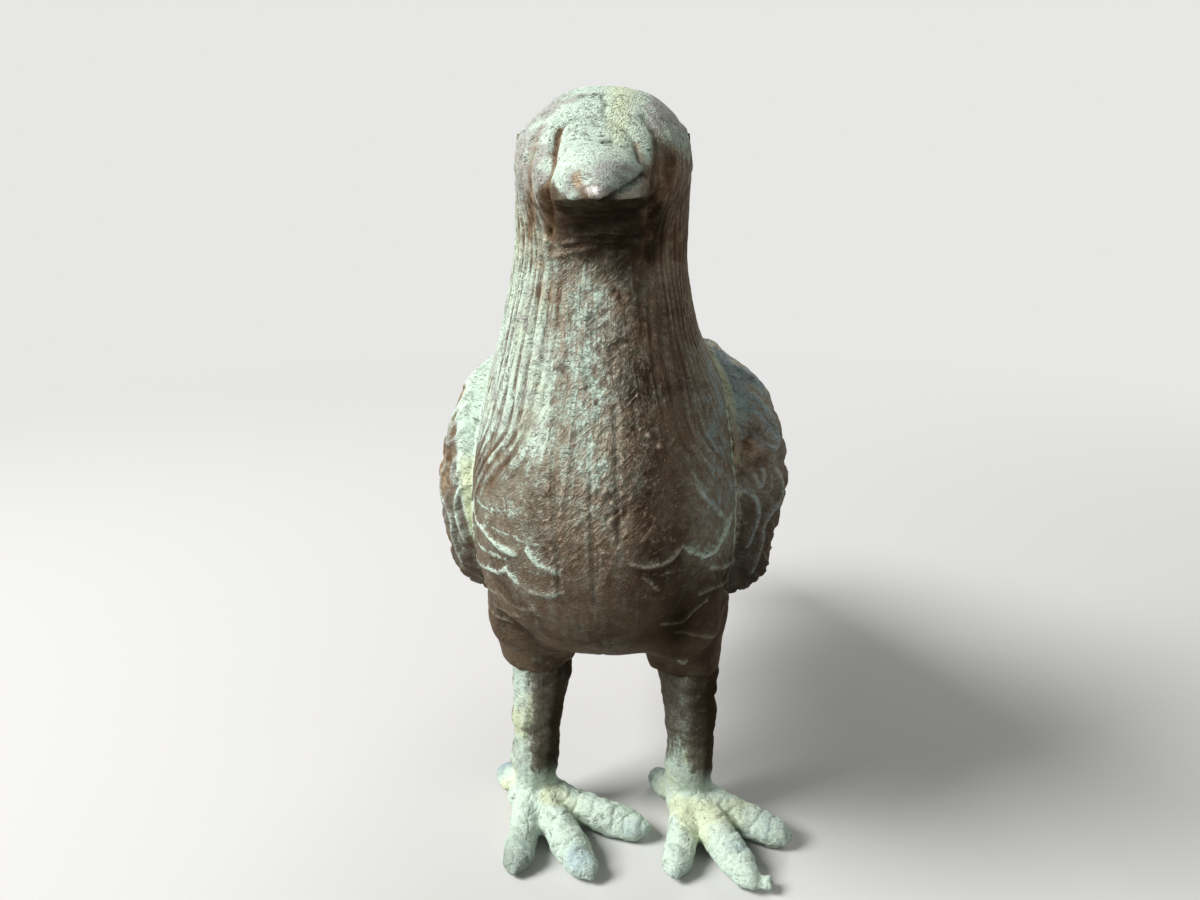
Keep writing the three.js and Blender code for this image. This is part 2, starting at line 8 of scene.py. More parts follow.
# %% Load the frame
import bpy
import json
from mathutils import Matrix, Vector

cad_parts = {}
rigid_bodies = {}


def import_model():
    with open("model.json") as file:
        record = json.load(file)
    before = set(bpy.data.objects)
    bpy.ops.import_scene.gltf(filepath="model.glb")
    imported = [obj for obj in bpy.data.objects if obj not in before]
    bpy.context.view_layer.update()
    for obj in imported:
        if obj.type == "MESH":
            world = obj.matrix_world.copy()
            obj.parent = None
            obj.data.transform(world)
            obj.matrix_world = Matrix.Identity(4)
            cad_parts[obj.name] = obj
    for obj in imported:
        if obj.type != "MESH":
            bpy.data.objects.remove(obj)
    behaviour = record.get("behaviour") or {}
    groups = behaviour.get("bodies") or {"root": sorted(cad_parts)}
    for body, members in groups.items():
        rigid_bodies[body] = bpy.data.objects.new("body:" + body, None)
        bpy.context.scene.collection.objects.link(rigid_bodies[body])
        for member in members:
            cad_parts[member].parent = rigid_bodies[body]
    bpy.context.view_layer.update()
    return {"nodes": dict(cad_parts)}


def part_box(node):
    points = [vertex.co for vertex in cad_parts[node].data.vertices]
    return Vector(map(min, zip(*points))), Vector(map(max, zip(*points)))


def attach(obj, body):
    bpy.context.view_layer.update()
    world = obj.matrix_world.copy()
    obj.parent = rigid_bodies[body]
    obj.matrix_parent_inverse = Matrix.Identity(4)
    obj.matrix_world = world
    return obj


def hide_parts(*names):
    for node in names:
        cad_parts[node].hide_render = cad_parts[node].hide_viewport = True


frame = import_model()

import json
import math
from itertools import product

import bmesh
import bpy
import numpy as np
from mathutils import Matrix, Vector
from mathutils.bvhtree import BVHTree

MM = 0.001
SIDES = ("left", "right")
sign_of = {"left": 1, "right": -1}
print("nodes:", sorted(frame["nodes"]))

# %% [markdown]
# ## One home for all measures
#
# A sculptor measures a bird from its own middle and not from a corner of the room. So every
# measure below is in millimetres from one point on the ground, under the bird. It is found
# from the frame: the flat between the two body halves gives its x, and the tip of the bill
# gives its y.

# %% Find the bird's home point
bill_reach = 59.3
body_low, body_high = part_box("body_left")
home = np.array([body_low.x, body_low.y + bill_reach * MM, 0.0])
height = body_high.z / MM
print("home in mm:", (home / MM).round(2), "height in mm:", round(height, 1))

# %% [markdown]
# ## From the construction to clay
#
# The construction's solids are faceted, with steps and sockets. A sculptor would fill the
# sockets and rub the facets away before cutting detail. A voxel remesh does the first: it
# lays an even net of squares over one or more closed meshes and drops what is inside. A
# Smooth modifier does the second, and a subdivision makes the net fine enough for relief.
# Each modifier is applied at once, so what follows works on the real points.

# %% Helpers that turn nodes into clay
def new_piece(name, mesh):
    """An object at the origin that holds this bmesh"""
    data = bpy.data.meshes.new(name)
    mesh.to_mesh(data)
    mesh.free()
    piece = bpy.data.objects.new(name, data)
    bpy.context.scene.collection.objects.link(piece)
    return piece


def copy_nodes(name, nodes):
    """A piece made of copies of the construction's nodes, with their loose corners merged"""
    mesh = bmesh.new()
    for node in nodes:
        mesh.from_mesh(frame["nodes"][node].data)
    bmesh.ops.remove_doubles(mesh, verts=mesh.verts, dist=0.001 * MM)
    return new_piece(name, mesh)


def join_into(piece, other):
    """Add another piece's mesh to this one"""
    mesh = bmesh.new()
    mesh.from_mesh(piece.data)
    mesh.from_mesh(other.data)
    mesh.to_mesh(piece.data)
    mesh.free()
    bpy.data.objects.remove(other)


def applied(piece, kind, **settings):
    """Put one modifier on a piece and make its result the piece's mesh"""
    modifier = piece.modifiers.new(kind.title(), kind)
    for key, value in settings.items():
        setattr(modifier, key, value)
    shown = piece.evaluated_get(bpy.context.evaluated_depsgraph_get())
    data = bpy.data.meshes.new_from_object(shown)
    piece.modifiers.clear()
    piece.data = data


def points_of(piece):
    """The piece's points in mm from home, one row each"""
    flat = np.zeros(len(piece.data.vertices) * 3)
    piece.data.vertices.foreach_get("co", flat)
    return (flat.reshape(-1, 3) - home) / MM


def set_points(piece, points):
    """Move the piece's points to these places in mm from home"""
    piece.data.vertices.foreach_set("co", (points * MM + home).ravel())
    piece.data.update()


def normals_of(piece):
    """The direction that the skin faces at each point"""
    flat = np.zeros(len(piece.data.vertices) * 3)
    piece.data.vertex_normals.foreach_get("vector", flat)
    return flat.reshape(-1, 3)


def raise_skin(piece, heights):
    """Move every point out along its normal by its own height in mm"""
    set_points(piece, points_of(piece) + normals_of(piece) * np.asarray(heights)[..., None])


def weight(piece, name, values):
    """A vertex group with one weight for each point, in sixteen steps"""
    group = piece.vertex_groups.new(name=name)
    steps = np.round(np.clip(values, 0, 1) * 16).astype(int)
    for step in range(1, 17):
        group.add(np.flatnonzero(steps == step).tolist(), step / 16, "REPLACE")


def rub(piece, rounds, values=None):
    """Rub the clay smooth, everywhere or by a weight from 0 to 1 at each point"""
    settings = {"factor": 0.5, "iterations": rounds}
    if values is not None:
        weight(piece, "rub", values)
        settings["vertex_group"] = "rub"
    applied(piece, "SMOOTH", **settings)
    piece.vertex_groups.clear()


# %% [markdown]
# ## Noise, steps and strokes
#
# A few small tools shape all the relief and all the paint. Noise is a smooth random height
# over space, with cells of one unit, so stretched coordinates give stretched grain. A step
# goes gently from 0 to 1 between two values, and a patch is a box with such soft sides. A
# stroke is how near a point lies to a line drawn on the bird, and it can be cut as a groove,
# raised as a ridge or painted.

# %% The sculpting tools
random_heights = np.random.default_rng(5).uniform(-1, 1, 8192)


def noise(x, y, z):
    """Smooth random heights from -1 to 1, with cells of one unit"""
    whole = [np.floor(v).astype(int) for v in (x, y, z)]
    part = [v - w for v, w in zip((x, y, z), whole)]
    ease = [p * p * (3 - 2 * p) for p in part]
    total = 0
    for corner in product((0, 1), repeat=3):
        share = 1
        place = 0
        for near, cell, blend, spread in zip(corner, whole, ease, (1, 157, 2693)):
            share = share * (blend if near else 1 - blend)
            place = place + (cell + near) * spread
        total = total + share * random_heights[place % 8192]
    return total


def rough(points, size, layers=3, seed=0):
    """Noise with finer and weaker layers on top, the largest lumps of this size in mm"""
    total = 0
    for layer in range(layers):
        p = points * 2**layer / size + 17.3 * (seed + layer)
        total = total + noise(p[:, 0], p[:, 1], p[:, 2]) * 0.55**layer
    return total


def step(value, low, high):
    """0 below low, 1 above high, and smooth between; low may be the larger of the two"""
    t = np.clip((value - low) / (high - low), 0, 1)
    return t * t * (3 - 2 * t)


def within(values, starts, full, still_full=None, ended=None):
    """1 along a stretch and 0 outside, with soft ends; it may have the first end only"""
    share = step(values, starts, full)
    return share if ended is None else share * step(values, ended, still_full)


def smooth_read(values, at):
    """Read evenly spaced values along a smooth curve through them"""
    last = len(values) - 1
    i = np.clip(np.floor(at).astype(int), 0, last - 1)
    t = at - i
    p0, p1, p2, p3 = (values[np.clip(i + k, 0, last)] for k in (-1, 0, 1, 2))
    bend = 2 * p0 - 5 * p1 + 4 * p2 - p3
    twist = 3 * p1 - p0 - 3 * p2 + p3
    return 0.5 * (2 * p1 + (p2 - p0) * t + bend * t**2 + twist * t**3)


class Skin:
    """The points of a piece in mm from home, with the tools that draw on it"""

    def __init__(self, piece, side=1):
        self.mirror = np.array([side, 1, 1])
        self.points = points_of(piece) * self.mirror
        self.normals = normals_of(piece) * self.mirror
        faces = [face.vertices[:] for face in piece.data.polygons]
        self.tree = BVHTree.FromPolygons(self.points.tolist(), faces)

    def stroke(self, line, width):
        """How near each point is to a smooth line through a few places on the skin: 1 on it"""
        knots = np.array(line, float)
        at = np.linspace(0, len(knots) - 1, 8 * len(knots))
        path = np.stack([smooth_read(knots[:, axis], at) for axis in range(3)], axis=1)
        path = np.array([self.tree.find_nearest(Vector(place))[0] for place in path])
        reach = 3 * width
        inside = (self.points > path.min(0) - reach) & (self.points < path.max(0) + reach)
        close = np.flatnonzero(inside.all(axis=1))
        near = np.full(len(close), 1e9)
        for a, b in zip(path[:-1], path[1:]):
            run = b - a
            from_a = self.points[close] - a
            share = np.clip(from_a @ run / max(run @ run, 1e-9), 0, 1)
            near = np.minimum(near, ((from_a - share[:, None] * run) ** 2).sum(1))
        found = np.zeros(len(self.points))
        found[close] = np.exp(-near / width**2)
        return found

    def spot(self, place, radius):
        """1 at a place on the skin, fading to 0 beyond the radius"""
        centre = np.array(self.tree.find_nearest(Vector(place))[0])
        return np.exp(-((self.points - centre) ** 2).sum(1) / radius**2)

    def patch(self, **stretches):
        """1 in a box with soft sides, given by the stretch along each axis that bounds it"""
        sides = [within(self.points[:, "xyz".index(axis)], *ends) for axis, ends in stretches.items()]
        return np.prod(sides, axis=0)

    def strokes(self, rows):
        """The sum of strokes, each row (strength, width, line)"""
        return sum(strength * self.stroke(line, width) for strength, width, line in rows)

    def spots(self, rows):
        """The sum of spots, each row (strength, radius, place)"""
        return sum(strength * self.spot(place, radius) for strength, radius, place in rows)

    def patches(self, rows):
        """The sum of patches, each row (strength, its stretches)"""
        return sum(strength * self.patch(**stretches) for strength, stretches in rows)


def distance_to(points, piece):
    """How far each point lies from another piece's skin, in mm"""
    faces = [face.vertices[:] for face in piece.data.polygons]
    tree = BVHTree.FromPolygons(points_of(piece).tolist(), faces)
    found = [tree.find_nearest(Vector(place), 8.0)[3] for place in points]
    return np.array([8.0 if far is None else far for far in found])


# %% [markdown]
# ## Feathers that overlap like shingles
#
# On such a bird the feathers are rows of round-ended tongues, and each row lies over the
# roots of the next. Rather than make hundreds of feather objects, the skin is raised where a
# feather would be. Each point asks which is the first row whose tips still reach over it.
# It then rises from the edge that it comes out under to its own edge, where it drops to the
# next row. That gives real steps in the mesh that catch light and patina.

# %% Rows of feathers as heights
class Shingles:
    """Feather rows over a skin. along is mm from the roots to the tips and across is 0 to 1.
    Each row is (reach, slant, count, sag), from the first: where its tips end at across 0,
    how much sooner they end at across 1, its number of feathers, and how round they are."""

    def __init__(self, along, across, rows, fray=0.6, seed=0):
        self.edge = np.full(along.shape, 30.0)
        self.past = np.maximum(along, 0.0)
        self.place = np.zeros(along.shape)
        self.layer = np.zeros(along.shape)
        for number in reversed(range(len(rows))):
            reach, slant, count, sag = rows[number]
            lane = across * count + 0.5 * (number % 2)
            middle = 2 * (lane - np.floor(lane)) - 1
            which = np.floor(lane).astype(int) * 31 + number * 101 + seed * 977
            uneven = random_heights[which % 8192] * fray
            round_end = sag * (1 - np.sqrt(1 - np.minimum(middle**2, 1)))
            ahead = reach - slant * across - round_end + uneven - along
            over = ahead >= 0
            self.edge = np.where(over, ahead, self.edge)
            self.place = np.where(over, middle, self.place)
            self.layer = np.where(over, number, self.layer)
            self.past = np.where(over, self.past, np.minimum(self.past, -ahead))
        self.rise = self.past / (self.past + self.edge + 0.01)

    def heights(self, lift, camber=0.3, rim=0.25, rim_width=0.7):
        """How far the skin stands out: rising to the tips, lower between the feathers"""
        plate = lift * (self.rise - camber * self.place**4)
        return plate + rim * np.exp(-((self.edge / rim_width) ** 2))

    def shaft(self, half_width, width=0.55):
        """1 along the middle of each feather, for one that is this wide"""
        return np.exp(-((self.place * half_width / width) ** 2)) * step(self.edge, 0.5, 2.5)

    def foot(self, width=0.8):
        """1 in the corner under an edge, where patina gathers"""
        return np.exp(-((self.past / width) ** 2))


# %% [markdown]
# ## Paint that follows the skin
#
# Patina doesn't fall on a casting evenly. It sits in hollows and creases, and grows where
# water ran. So each piece gets values at every point, as attributes that the materials read:
# how green, rusty, dark and hollow it is there, where the dark is stains and painted shade,
# the green's hue, and how lilac grey its crust is, with a painted white highlight where that
# value is over 1. A last one holds where the point lies in the flow of the combed feathers, so
# that fine streaks can follow them.

# %% Helpers that store paint
def paint(piece, **layers):
    """Store numbers for the piece's points by name: one for each point, or one for all"""
    for name, values in layers.items():
        layer = piece.data.attributes.new(name, "FLOAT", "POINT")
        spread = np.zeros(len(piece.data.vertices)) + values
        layer.data.foreach_set("value", spread.astype(np.float32))


def paint_flow(piece, across, along, combed):
    """Store where each point lies across and along the streaks, and how combed it is"""
    layer = piece.data.attributes.new("flow", "FLOAT_VECTOR", "POINT")
    rows = np.stack([across, along, combed], axis=1).astype(np.float32)
    layer.data.foreach_set("vector", rows.ravel())


def averaged(piece, values, rounds):
    """Values at the points, each drawn half-way to its neighbours' average, round by round"""
    edges = np.zeros(len(piece.data.edges) * 2, int)
    piece.data.edges.foreach_get("vertices", edges)
    a, b = edges.reshape(-1, 2).T
    size = len(values)
    count = np.bincount(a, minlength=size) + np.bincount(b, minlength=size)
    for _ in range(rounds):
        total = np.bincount(a, values[b], size) + np.bincount(b, values[a], size)
        values = 0.5 * values + 0.5 * total / np.maximum(count, 1)
    return values


def hollows(piece, heights, reach=6, depth=0.18):
    """How far each point lies under the height around it, from -1 on ridges to 1 in pits"""
    return np.clip((averaged(piece, heights, reach) - heights) / depth, -1, 1)


# %% [markdown]
# ## Sound clay for the body
#
# The body's two half shells meet in the middle of the bird. For sculpting they are one lump,
# with the leg sockets plugged, and they are sawn apart again at the end. The thighs run into
# the belly without a crease, so a ball of clay goes into the corner above each thigh, what
# crease is left is filled, and both are rubbed more than the rest. The bill and the rims of
# the cuffs are rubbed least, to keep their edges.

# %% Plugs for the sockets, and clay for the corners above the thighs
cuff_height = body_low.z / MM
plug_radius = 6.5
rim_depth = 2.5
corner_place = (18.5, -12, 70)
corner_radius = 10
corner_stretch = (1.05, 0.95, 1.15)
plugs = bmesh.new()
for side in SIDES:
    pin_low, pin_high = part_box("leg_pin_" + side)
    centre = (pin_low + pin_high) / 2
    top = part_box("leg_" + side)[1].z + 1 * MM
    bottom = (cuff_height + rim_depth) * MM
    place = Matrix.Translation((centre.x, centre.y, (top + bottom) / 2))
    bmesh.ops.create_cone(plugs, cap_ends=True, segments=32, radius1=plug_radius * MM,
                          radius2=plug_radius * MM, depth=top - bottom, matrix=place)
for side in (-1, 1):
    place = Matrix.Translation(home + Vector((side * corner_place[0], *corner_place[1:])) * MM)
    corner = bmesh.ops.create_icosphere(plugs, subdivisions=4, radius=corner_radius * MM, matrix=place)
    bmesh.ops.scale(plugs, verts=corner["verts"], vec=corner_stretch, space=place.inverted())
plug_piece = new_piece("plugs", plugs)
print("cuffs end at", round(cuff_height, 1), "mm, plugs start", rim_depth, "mm further up")

# %% Lean the outline as the casting leans, side by side and height by height
# Each row is a height, how far the bird's right side leans out there, and how far its left does
lean_rows = [(50, 1.4, 1.4), (56, 1.9, 0.6), (60, 2.2, -0.4), (64, 2.4, 0.4), (70, 2.6, 1.8),
             (76, 2.6, 1.9), (86, 1.0, 0.5), (122, 0.2, 0), (136, 1.2, -0.6), (146, 2, -1.5),
             (152, 2.2, -1.1), (164, 1.4, -1.1), (172, 1.4, -0.3), (181, 0.2, 0.2),
             (186, -1.0, -0.3), (190, -2.0, -0.7), (194, -2.6, -0.9), (197.5, -2.2, -0.9),
             (201, -0.8, -0.3)]
lean_heights, lean_right, lean_left = zip(*lean_rows)
eye_hold = 5.2
print("the outline leans at", len(lean_rows), "heights, by up to", max(lean_right + lean_left), "mm")


def eye_place(side):
    """The middle of an eye bead, in mm from home"""
    low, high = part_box("eye_" + side)
    return (np.array((low + high) / 2) - home) / MM


def lean_body(piece):
    """Move each side out or in along x; the middle and the eyes stay where they are"""
    points = points_of(piece)
    x, _, z = points.T
    inner = np.interp(z, [70, 100], [16, 1])
    shift = np.interp(z, lean_heights, lean_left) * step(x, inner, inner + 13)
    shift -= np.interp(z, lean_heights, lean_right) * step(-x, inner, inner + 13)
    for side in SIDES:
        off = ((points - eye_place(side)) ** 2).sum(1)
        shift *= 1 - 0.9 * np.exp(-off / eye_hold**2)
    points[:, 0] += shift
    set_points(piece, points)


def fill_hollows(piece, rounds, values):
    """Fill creases with clay as a thumb does: of what rubbing does, keep only what stands out"""
    before = points_of(piece)
    normals = normals_of(piece)
    rub(piece, rounds, values)
    outward = ((points_of(piece) - before) * normals).sum(1)
    set_points(piece, before + normals * np.maximum(outward, 0)[:, None])


# %% Lump the body together and rub it
body = copy_nodes("body", ["body_left", "body_right", "leg_pin_left", "leg_pin_right"])
join_into(body, plug_piece)
applied(body, "REMESH", mode="VOXEL", voxel_size=1.1 * MM)
lean_body(body)
x, y, z = points_of(body).T
rub(body, 30, step(y, -56, -40) * 0.8 + 0.2 - 0.8 * step(z, 57, 53))
x, y, z = points_of(body).T
for _ in range(3):
    fill_hollows(body, 80, within(z, 53, 57, 76, 88) * step(y, 14, 4))
rub(body, 60, within(z, 54, 60, 78, 90))
applied(body, "SUBSURF", levels=1, render_levels=1)
print("body net:", len(body.data.polygons), "squares")

# %% [markdown]
# ## The head and the bill
#
# The bill is pinched in behind its tip and turned a little to the bird's left, as on the
# real casting. Round the swollen base of the bill runs a horseshoe groove with a second fold
# outside it. The gape is cut from the tip to under the eyes, and each bead sits in a ring.

# %% Lines on the head, in mm from home
bill_groove = [(-10.8, -27, 169.2), (-9.6, -36.4, 175.2), (-8.3, -43.6, 180.5), (-8.6, -39.2, 185.8),
               (-8.1, -35.8, 189.8), (-4, -35, 192), (0.3, -35.5, 191.7), (4.5, -36.5, 190.3),
               (6.9, -38.5, 187.9), (7.8, -40.3, 185.8), (8.1, -43.3, 183)]
dome_line = [(-6.5, -38, 188.8), (-3.5, -37, 190.6), (0.5, -37.3, 190.4), (4, -38.2, 189)]
cheek_ridge = [(-9.9, -32.5, 192.2), (-10.5, -36.4, 188.5), (-10.7, -39.8, 183.2),
               (-11.4, -34.8, 175.2), (-13.1, -24.8, 163.7)]
cheek_groove = [(-12.4, -31.4, 191.7), (-13.6, -33.5, 188.2), (-14.2, -35.3, 184.5), (-14, -35.5, 179),
                (-14.1, -29.8, 175.1), (-15.5, -22.8, 169)]
outer_ridge = [(-15, -31.5, 188.9), (-16, -33, 183.4), (-16.9, -24.4, 176.5), (-16.9, -21, 172)]
far_groove = [(9.3, -33.2, 192), (11.5, -35, 188.7), (11.8, -38.1, 184.3), (10.9, -40.6, 178.9),
              (10.6, -30.9, 172.3), (10.4, -26.7, 163.9)]
far_ridge = [(11.2, -30, 194), (14, -32, 189.5), (14.6, -34, 184), (13.5, -35, 177), (13, -28, 170)]
gape_left = [(2.6, -57.4, 176.3), (5.4, -53.4, 178.2), (9, -44.7, 181)]
gape_right = [(-1.5, -57.4, 176.8), (-3.6, -53.6, 178.4), (-7, -46, 180.5)]
jaw_left = [(3.6, -56, 176), (6, -52, 177), (8.4, -46, 178.2)]
cheek_lump = [(-5.8, -50.5, 180.6), (-5.2, -53, 178.6), (-4.8, -53.9, 176.8)]
crown_crack = [(0.9, -28.5, 197), (0.3, -30, 196), (1.4, -32, 194.6), (0.7, -34, 193), (1.3, -35, 192)]
brow_nick = [(1.1, -41.8, 186.3), (2.1, -41.5, 186.8), (3.0, -41.2, 187.3)]
throat_folds = [[(-11, -26, 164), (-6, -29, 165.3), (-1, -30, 166.5)],
                [(-8, -28, 167.4), (-3, -30, 168.2), (3, -30, 167.6)],
                [(-5, -29.5, 170), (1, -30.5, 170.8), (7, -29, 170)]]
# Each row is how high, how wide and where; a groove's height is negative
head_strokes = [(-0.35, 0.5, bill_groove), (-0.3, 1.8, bill_groove), (-0.35, 0.9, bill_groove[:5]),
                (-0.3, 0.45, dome_line), (0.45, 0.9, cheek_ridge), (-0.3, 0.9, cheek_groove),
                (0.5, 0.8, outer_ridge), (0.5, 1.1, far_ridge), (-0.7, 1.0, far_groove),
                (-1.1, 0.55, gape_left), (-0.3, 0.7, gape_right), (0.7, 1.1, jaw_left),
                (0.8, 1.4, cheek_lump), (-0.4, 0.4, crown_crack), (-0.9, 0.5, brow_nick)]
head_strokes += [(0.5, 0.7, fold) for fold in throat_folds]
print("strokes on the head:", len(head_strokes))

# %% Pinch the bill and turn it
points = points_of(body)
ahead = -points[:, 1]
points[:, 0] *= 1 - 0.12 * step(ahead, 47, 54)
points[:, 0] += 1.1 * step(ahead, 38, 58)
points[:, 2] -= 0.6 * step(ahead, 50, 58)
set_points(body, points)
print("the tip of the bill is at", points[np.argmin(points[:, 1])].round(1))

# %% Heights on the head
def throat_share(points, bottom, widen=0.0):
    """1 in the hollow under the bill, which fades out down to the bottom and to both sides"""
    x, y, z = points.T
    across = step(x, -10.5 - widen, -4.5) * step(x, 13.5 + widen, 5.5 + widen)
    top = 176.1 + 0.04 * x
    low_end = bottom - 0.25 * x
    return across * step(z, top + 0.7, top - 0.4) * step(z, low_end, low_end + 12) * step(y, -16, -24)


def head_relief(skin):
    """Bill, gape, folds, crack and the rings round the eyes"""
    y = skin.points[:, 1]
    heights = skin.strokes(head_strokes) - 1.2 * throat_share(skin.points, 159) * step(y, -30, -38)
    for side in SIDES:
        off = np.sqrt(((skin.points - eye_place(side)) ** 2).sum(1))
        heights += 1.05 * np.exp(-((off / 6.2) ** 2))
        heights += 0.25 * np.exp(-(((off - 4.1) / 0.8) ** 2))
        heights -= 0.25 * np.exp(-(((off - 6.0) / 1.0) ** 2))
    return heights


# %% [markdown]
# ## The neck, the breast and the belly
#
# Long grooves run down the sides of the neck and flare out over the breast. Between them, a
# band in front is pitted like bark. Below, the flanks have big scallops that point down and
# in, and the back and the vent are covered with rows of round feathers.

# %% Where a point lies on the neck
axis_heights = [55, 90, 110, 135, 165, 182]
axis_places = [8, 0, -6, -10, -11, -15]


def neck_turn(points):
    """How far round the neck a point lies from the front, in radians, flaring lower down"""
    x, y, z = points.T
    middle = np.interp(z, axis_heights, axis_places)
    turn = np.arctan2(np.abs(x), middle - y)
    return turn - 0.016 * np.maximum(0, 125 - z) * step(turn, 0.2, 0.8)


def body_masks(skin):
    """The share of each kind of surface at every point"""
    x, y, z = skin.points.T
    facing = skin.normals[:, 2]
    turn = neck_turn(skin.points)
    wobble = 0.1 * noise(x * 0, z / 9, z * 0)
    band = step(turn + wobble, 0.62, 0.4) * within(z, 66, 84, 160, 172)
    ragged = 5 * noise(x / 5, y / 5, z / 9)
    neck = step(z, 98, 116) * step(z + ragged, 184, 170) * (1 - band)
    neck *= 1 - skin.patch(x=(-12, -9, 9, 12), y=(-12, -20), z=(157, 162))
    cheeks = within(turn, 0.5, 0.62, 1.1, 1.5) * within(z, 160, 168, 183, 190)
    neck = np.maximum(neck, 0.6 * cheeks)
    back = step(y, 8, 18) * step(facing, -0.1, 0.3) * step(z, 158, 140)
    vent = step(y, 6, 16) * step(facing, 0.1, -0.3)
    low = within(z, 64, 76, 106, 116) * step(np.abs(x), 6, 13)
    flank = low * step(y, 26, 6) * step(facing, -0.97, -0.8)
    wander = np.stack([noise(x / 7 + k, y / 7, z / 7 - k) for k in (3, 8, 13)], axis=1)
    return {"band": band, "neck": neck * (1 - back), "back": back, "vent": vent, "flank": flank,
            "wander": wander}


# %% Heights on the neck and breast
crossing_grooves = [[(-9.5, -37, 130), (-9.6, -40, 117), (-9, -43, 103), (-8.5, -41, 90)],
                    [(-1.8, -40, 126), (-1.4, -43, 112), (-1.2, -44, 98), (-1, -41, 88)],
                    [(3.5, -38, 132), (4, -42, 116), (4.5, -43.5, 104)]]
gashes = [[(3.2, -44, 113), (5.2, -44, 111), (2.4, -44, 108.6), (3.6, -44, 106.8)],
          [(-1.5, -38, 134), (0.5, -38, 135.2), (2, -38, 136.4)],
          [(-0.8, -37.5, 137.5), (0.8, -37.5, 139.3)]]
pips = [(0.81, 0.9, (13.2, -38, 124)), (0.63, 0.7, (10.6, -38, 126.6)),
        (0.72, 0.8, (-17.5, -34, 127.5)), (0.81, 0.9, (-9.8, -34, 141.5)),
        (0.54, 0.6, (1.6, -43, 115.5)), (0.54, 0.6, (26, -26, 119))]
streaks = [[(-7.6, -28.6, 156), (-8.2, -31, 149), (-8.6, -34, 141)],
           [(-3, -30.5, 152), (-4.5, -33, 145), (-4, -36, 137)],
           [(-6, -38, 130), (-7, -41, 119), (-7.5, -42, 110)]]
neck_strokes = [(-0.4, 0.55, groove) for groove in crossing_grooves]
neck_strokes += [(0.7, 0.5, gash) for gash in gashes] + [(-0.45, 1.2, gash) for gash in gashes]
neck_strokes += [(0.4, 0.9, streak) for streak in streaks]
file_marks = (4.6, -41, 123)
print("strokes on the neck and breast:", len(neck_strokes))


def neck_relief(skin, masks):
    """Grooves down the neck, and the pitted band in front, with its valleys and its crests"""
    x, y, z = skin.points.T
    turn = neck_turn(skin.points)
    lane = turn / 0.098 + 0.55 * noise(turn * 4, z / 14, z * 0) + np.where(x > 0, 0.4, 0)
    depth = 0.42 + 0.25 * noise(np.floor(lane), z / 11, np.sign(x) * 7)
    valley = (1 - np.abs(np.sin(np.pi * lane))) ** 1.2
    slanted = np.stack([0.45 * (x + z), 1.2 * y, 1.2 * (z - x)], axis=1)
    worms = 1 - 2.4 * np.abs(rough(slanted + 1.5 * masks["wander"], 1.7, 2, seed=3))
    breast = step(z, 76, 96) * (1 - 0.8 * masks["neck"]) * step(z, 184, 170)
    centre = masks["band"] * np.exp(-(((x - 0.5) / 6) ** 2)) * step(z, 96, 112)
    heights = -1.1 * depth * valley * masks["neck"]
    heights += (0.05 + 0.06 * masks["band"] + 0.1 * centre) * worms * breast
    heights += 0.06 * rough(slanted, 1.2, 1, seed=2) * breast
    hatch = np.sin((x * 0.75 + z) * 2 * np.pi / 1.5)
    heights += 0.12 * hatch * np.exp(-((skin.points - file_marks) ** 2).sum(1) / 5.5**2)
    heights += skin.strokes(neck_strokes) + skin.spots(pips)
    return heights, valley * masks["neck"], step(worms, 0.2, 0.9) * centre


# %% Feathers on the flanks, the back and the vent
flank_rows = [(8.5 * k, 0, 6, 3.8) for k in range(1, 13)]
back_rows = [(8.0 * k, 0, 6, 3.6) for k in range(1, 14)]
vent_rows = [(9.0 * k, 0, 5, 4.5) for k in range(1, 12)]
print("rows of feathers on the body:", len(flank_rows + back_rows + vent_rows))


def body_feathers(skin, masks):
    """The heights of the feathers, and the corners under their edges"""
    x, y, z = skin.points.T
    round_way = 30 * neck_turn(skin.points)
    warp = 2.2 * noise(x / 12, y / 12, z / 12)
    inward = 1.1 * (118 - z) - 0.55 * round_way + warp + 22
    sideways = (round_way + 0.55 * (118 - z) + warp) / 84
    flank = Shingles(inward, sideways, flank_rows, seed=1 + (x > 0))
    back = Shingles((y - 6) * 1.13 + 0.5 * warp, x / 60 + 0.5, back_rows)
    vent = Shingles(y - 4 + warp, x / 60 + 0.5, vent_rows)
    in_front = 1 - 0.5 * step(y, 0, -14)
    heights = masks["flank"] * flank.heights(0.5, camber=0.2) * in_front
    heights += masks["back"] * back.heights(0.8, rim=0.2)
    heights += masks["vent"] * vent.heights(0.6, rim=0.15)
    foot = masks["flank"] * flank.foot() + masks["back"] * back.foot() + masks["vent"] * vent.foot()
    return heights, foot


# %% Sculpt the body
def cuff_waves(points):
    """How far a cuff's rim hangs down, as uneven as the lip of wax that it was"""
    x, y, z = points.T
    wave = 0.9 * noise(x / 5, y / 5, z * 0 + 3) + 0.4 * noise(x / 2, y / 2, z * 0 + 9)
    longer = np.where(x > 0, 1.4, 0)
    return (wave - 0.3 - longer) * step(z, cuff_height + 6, cuff_height + 0.5)


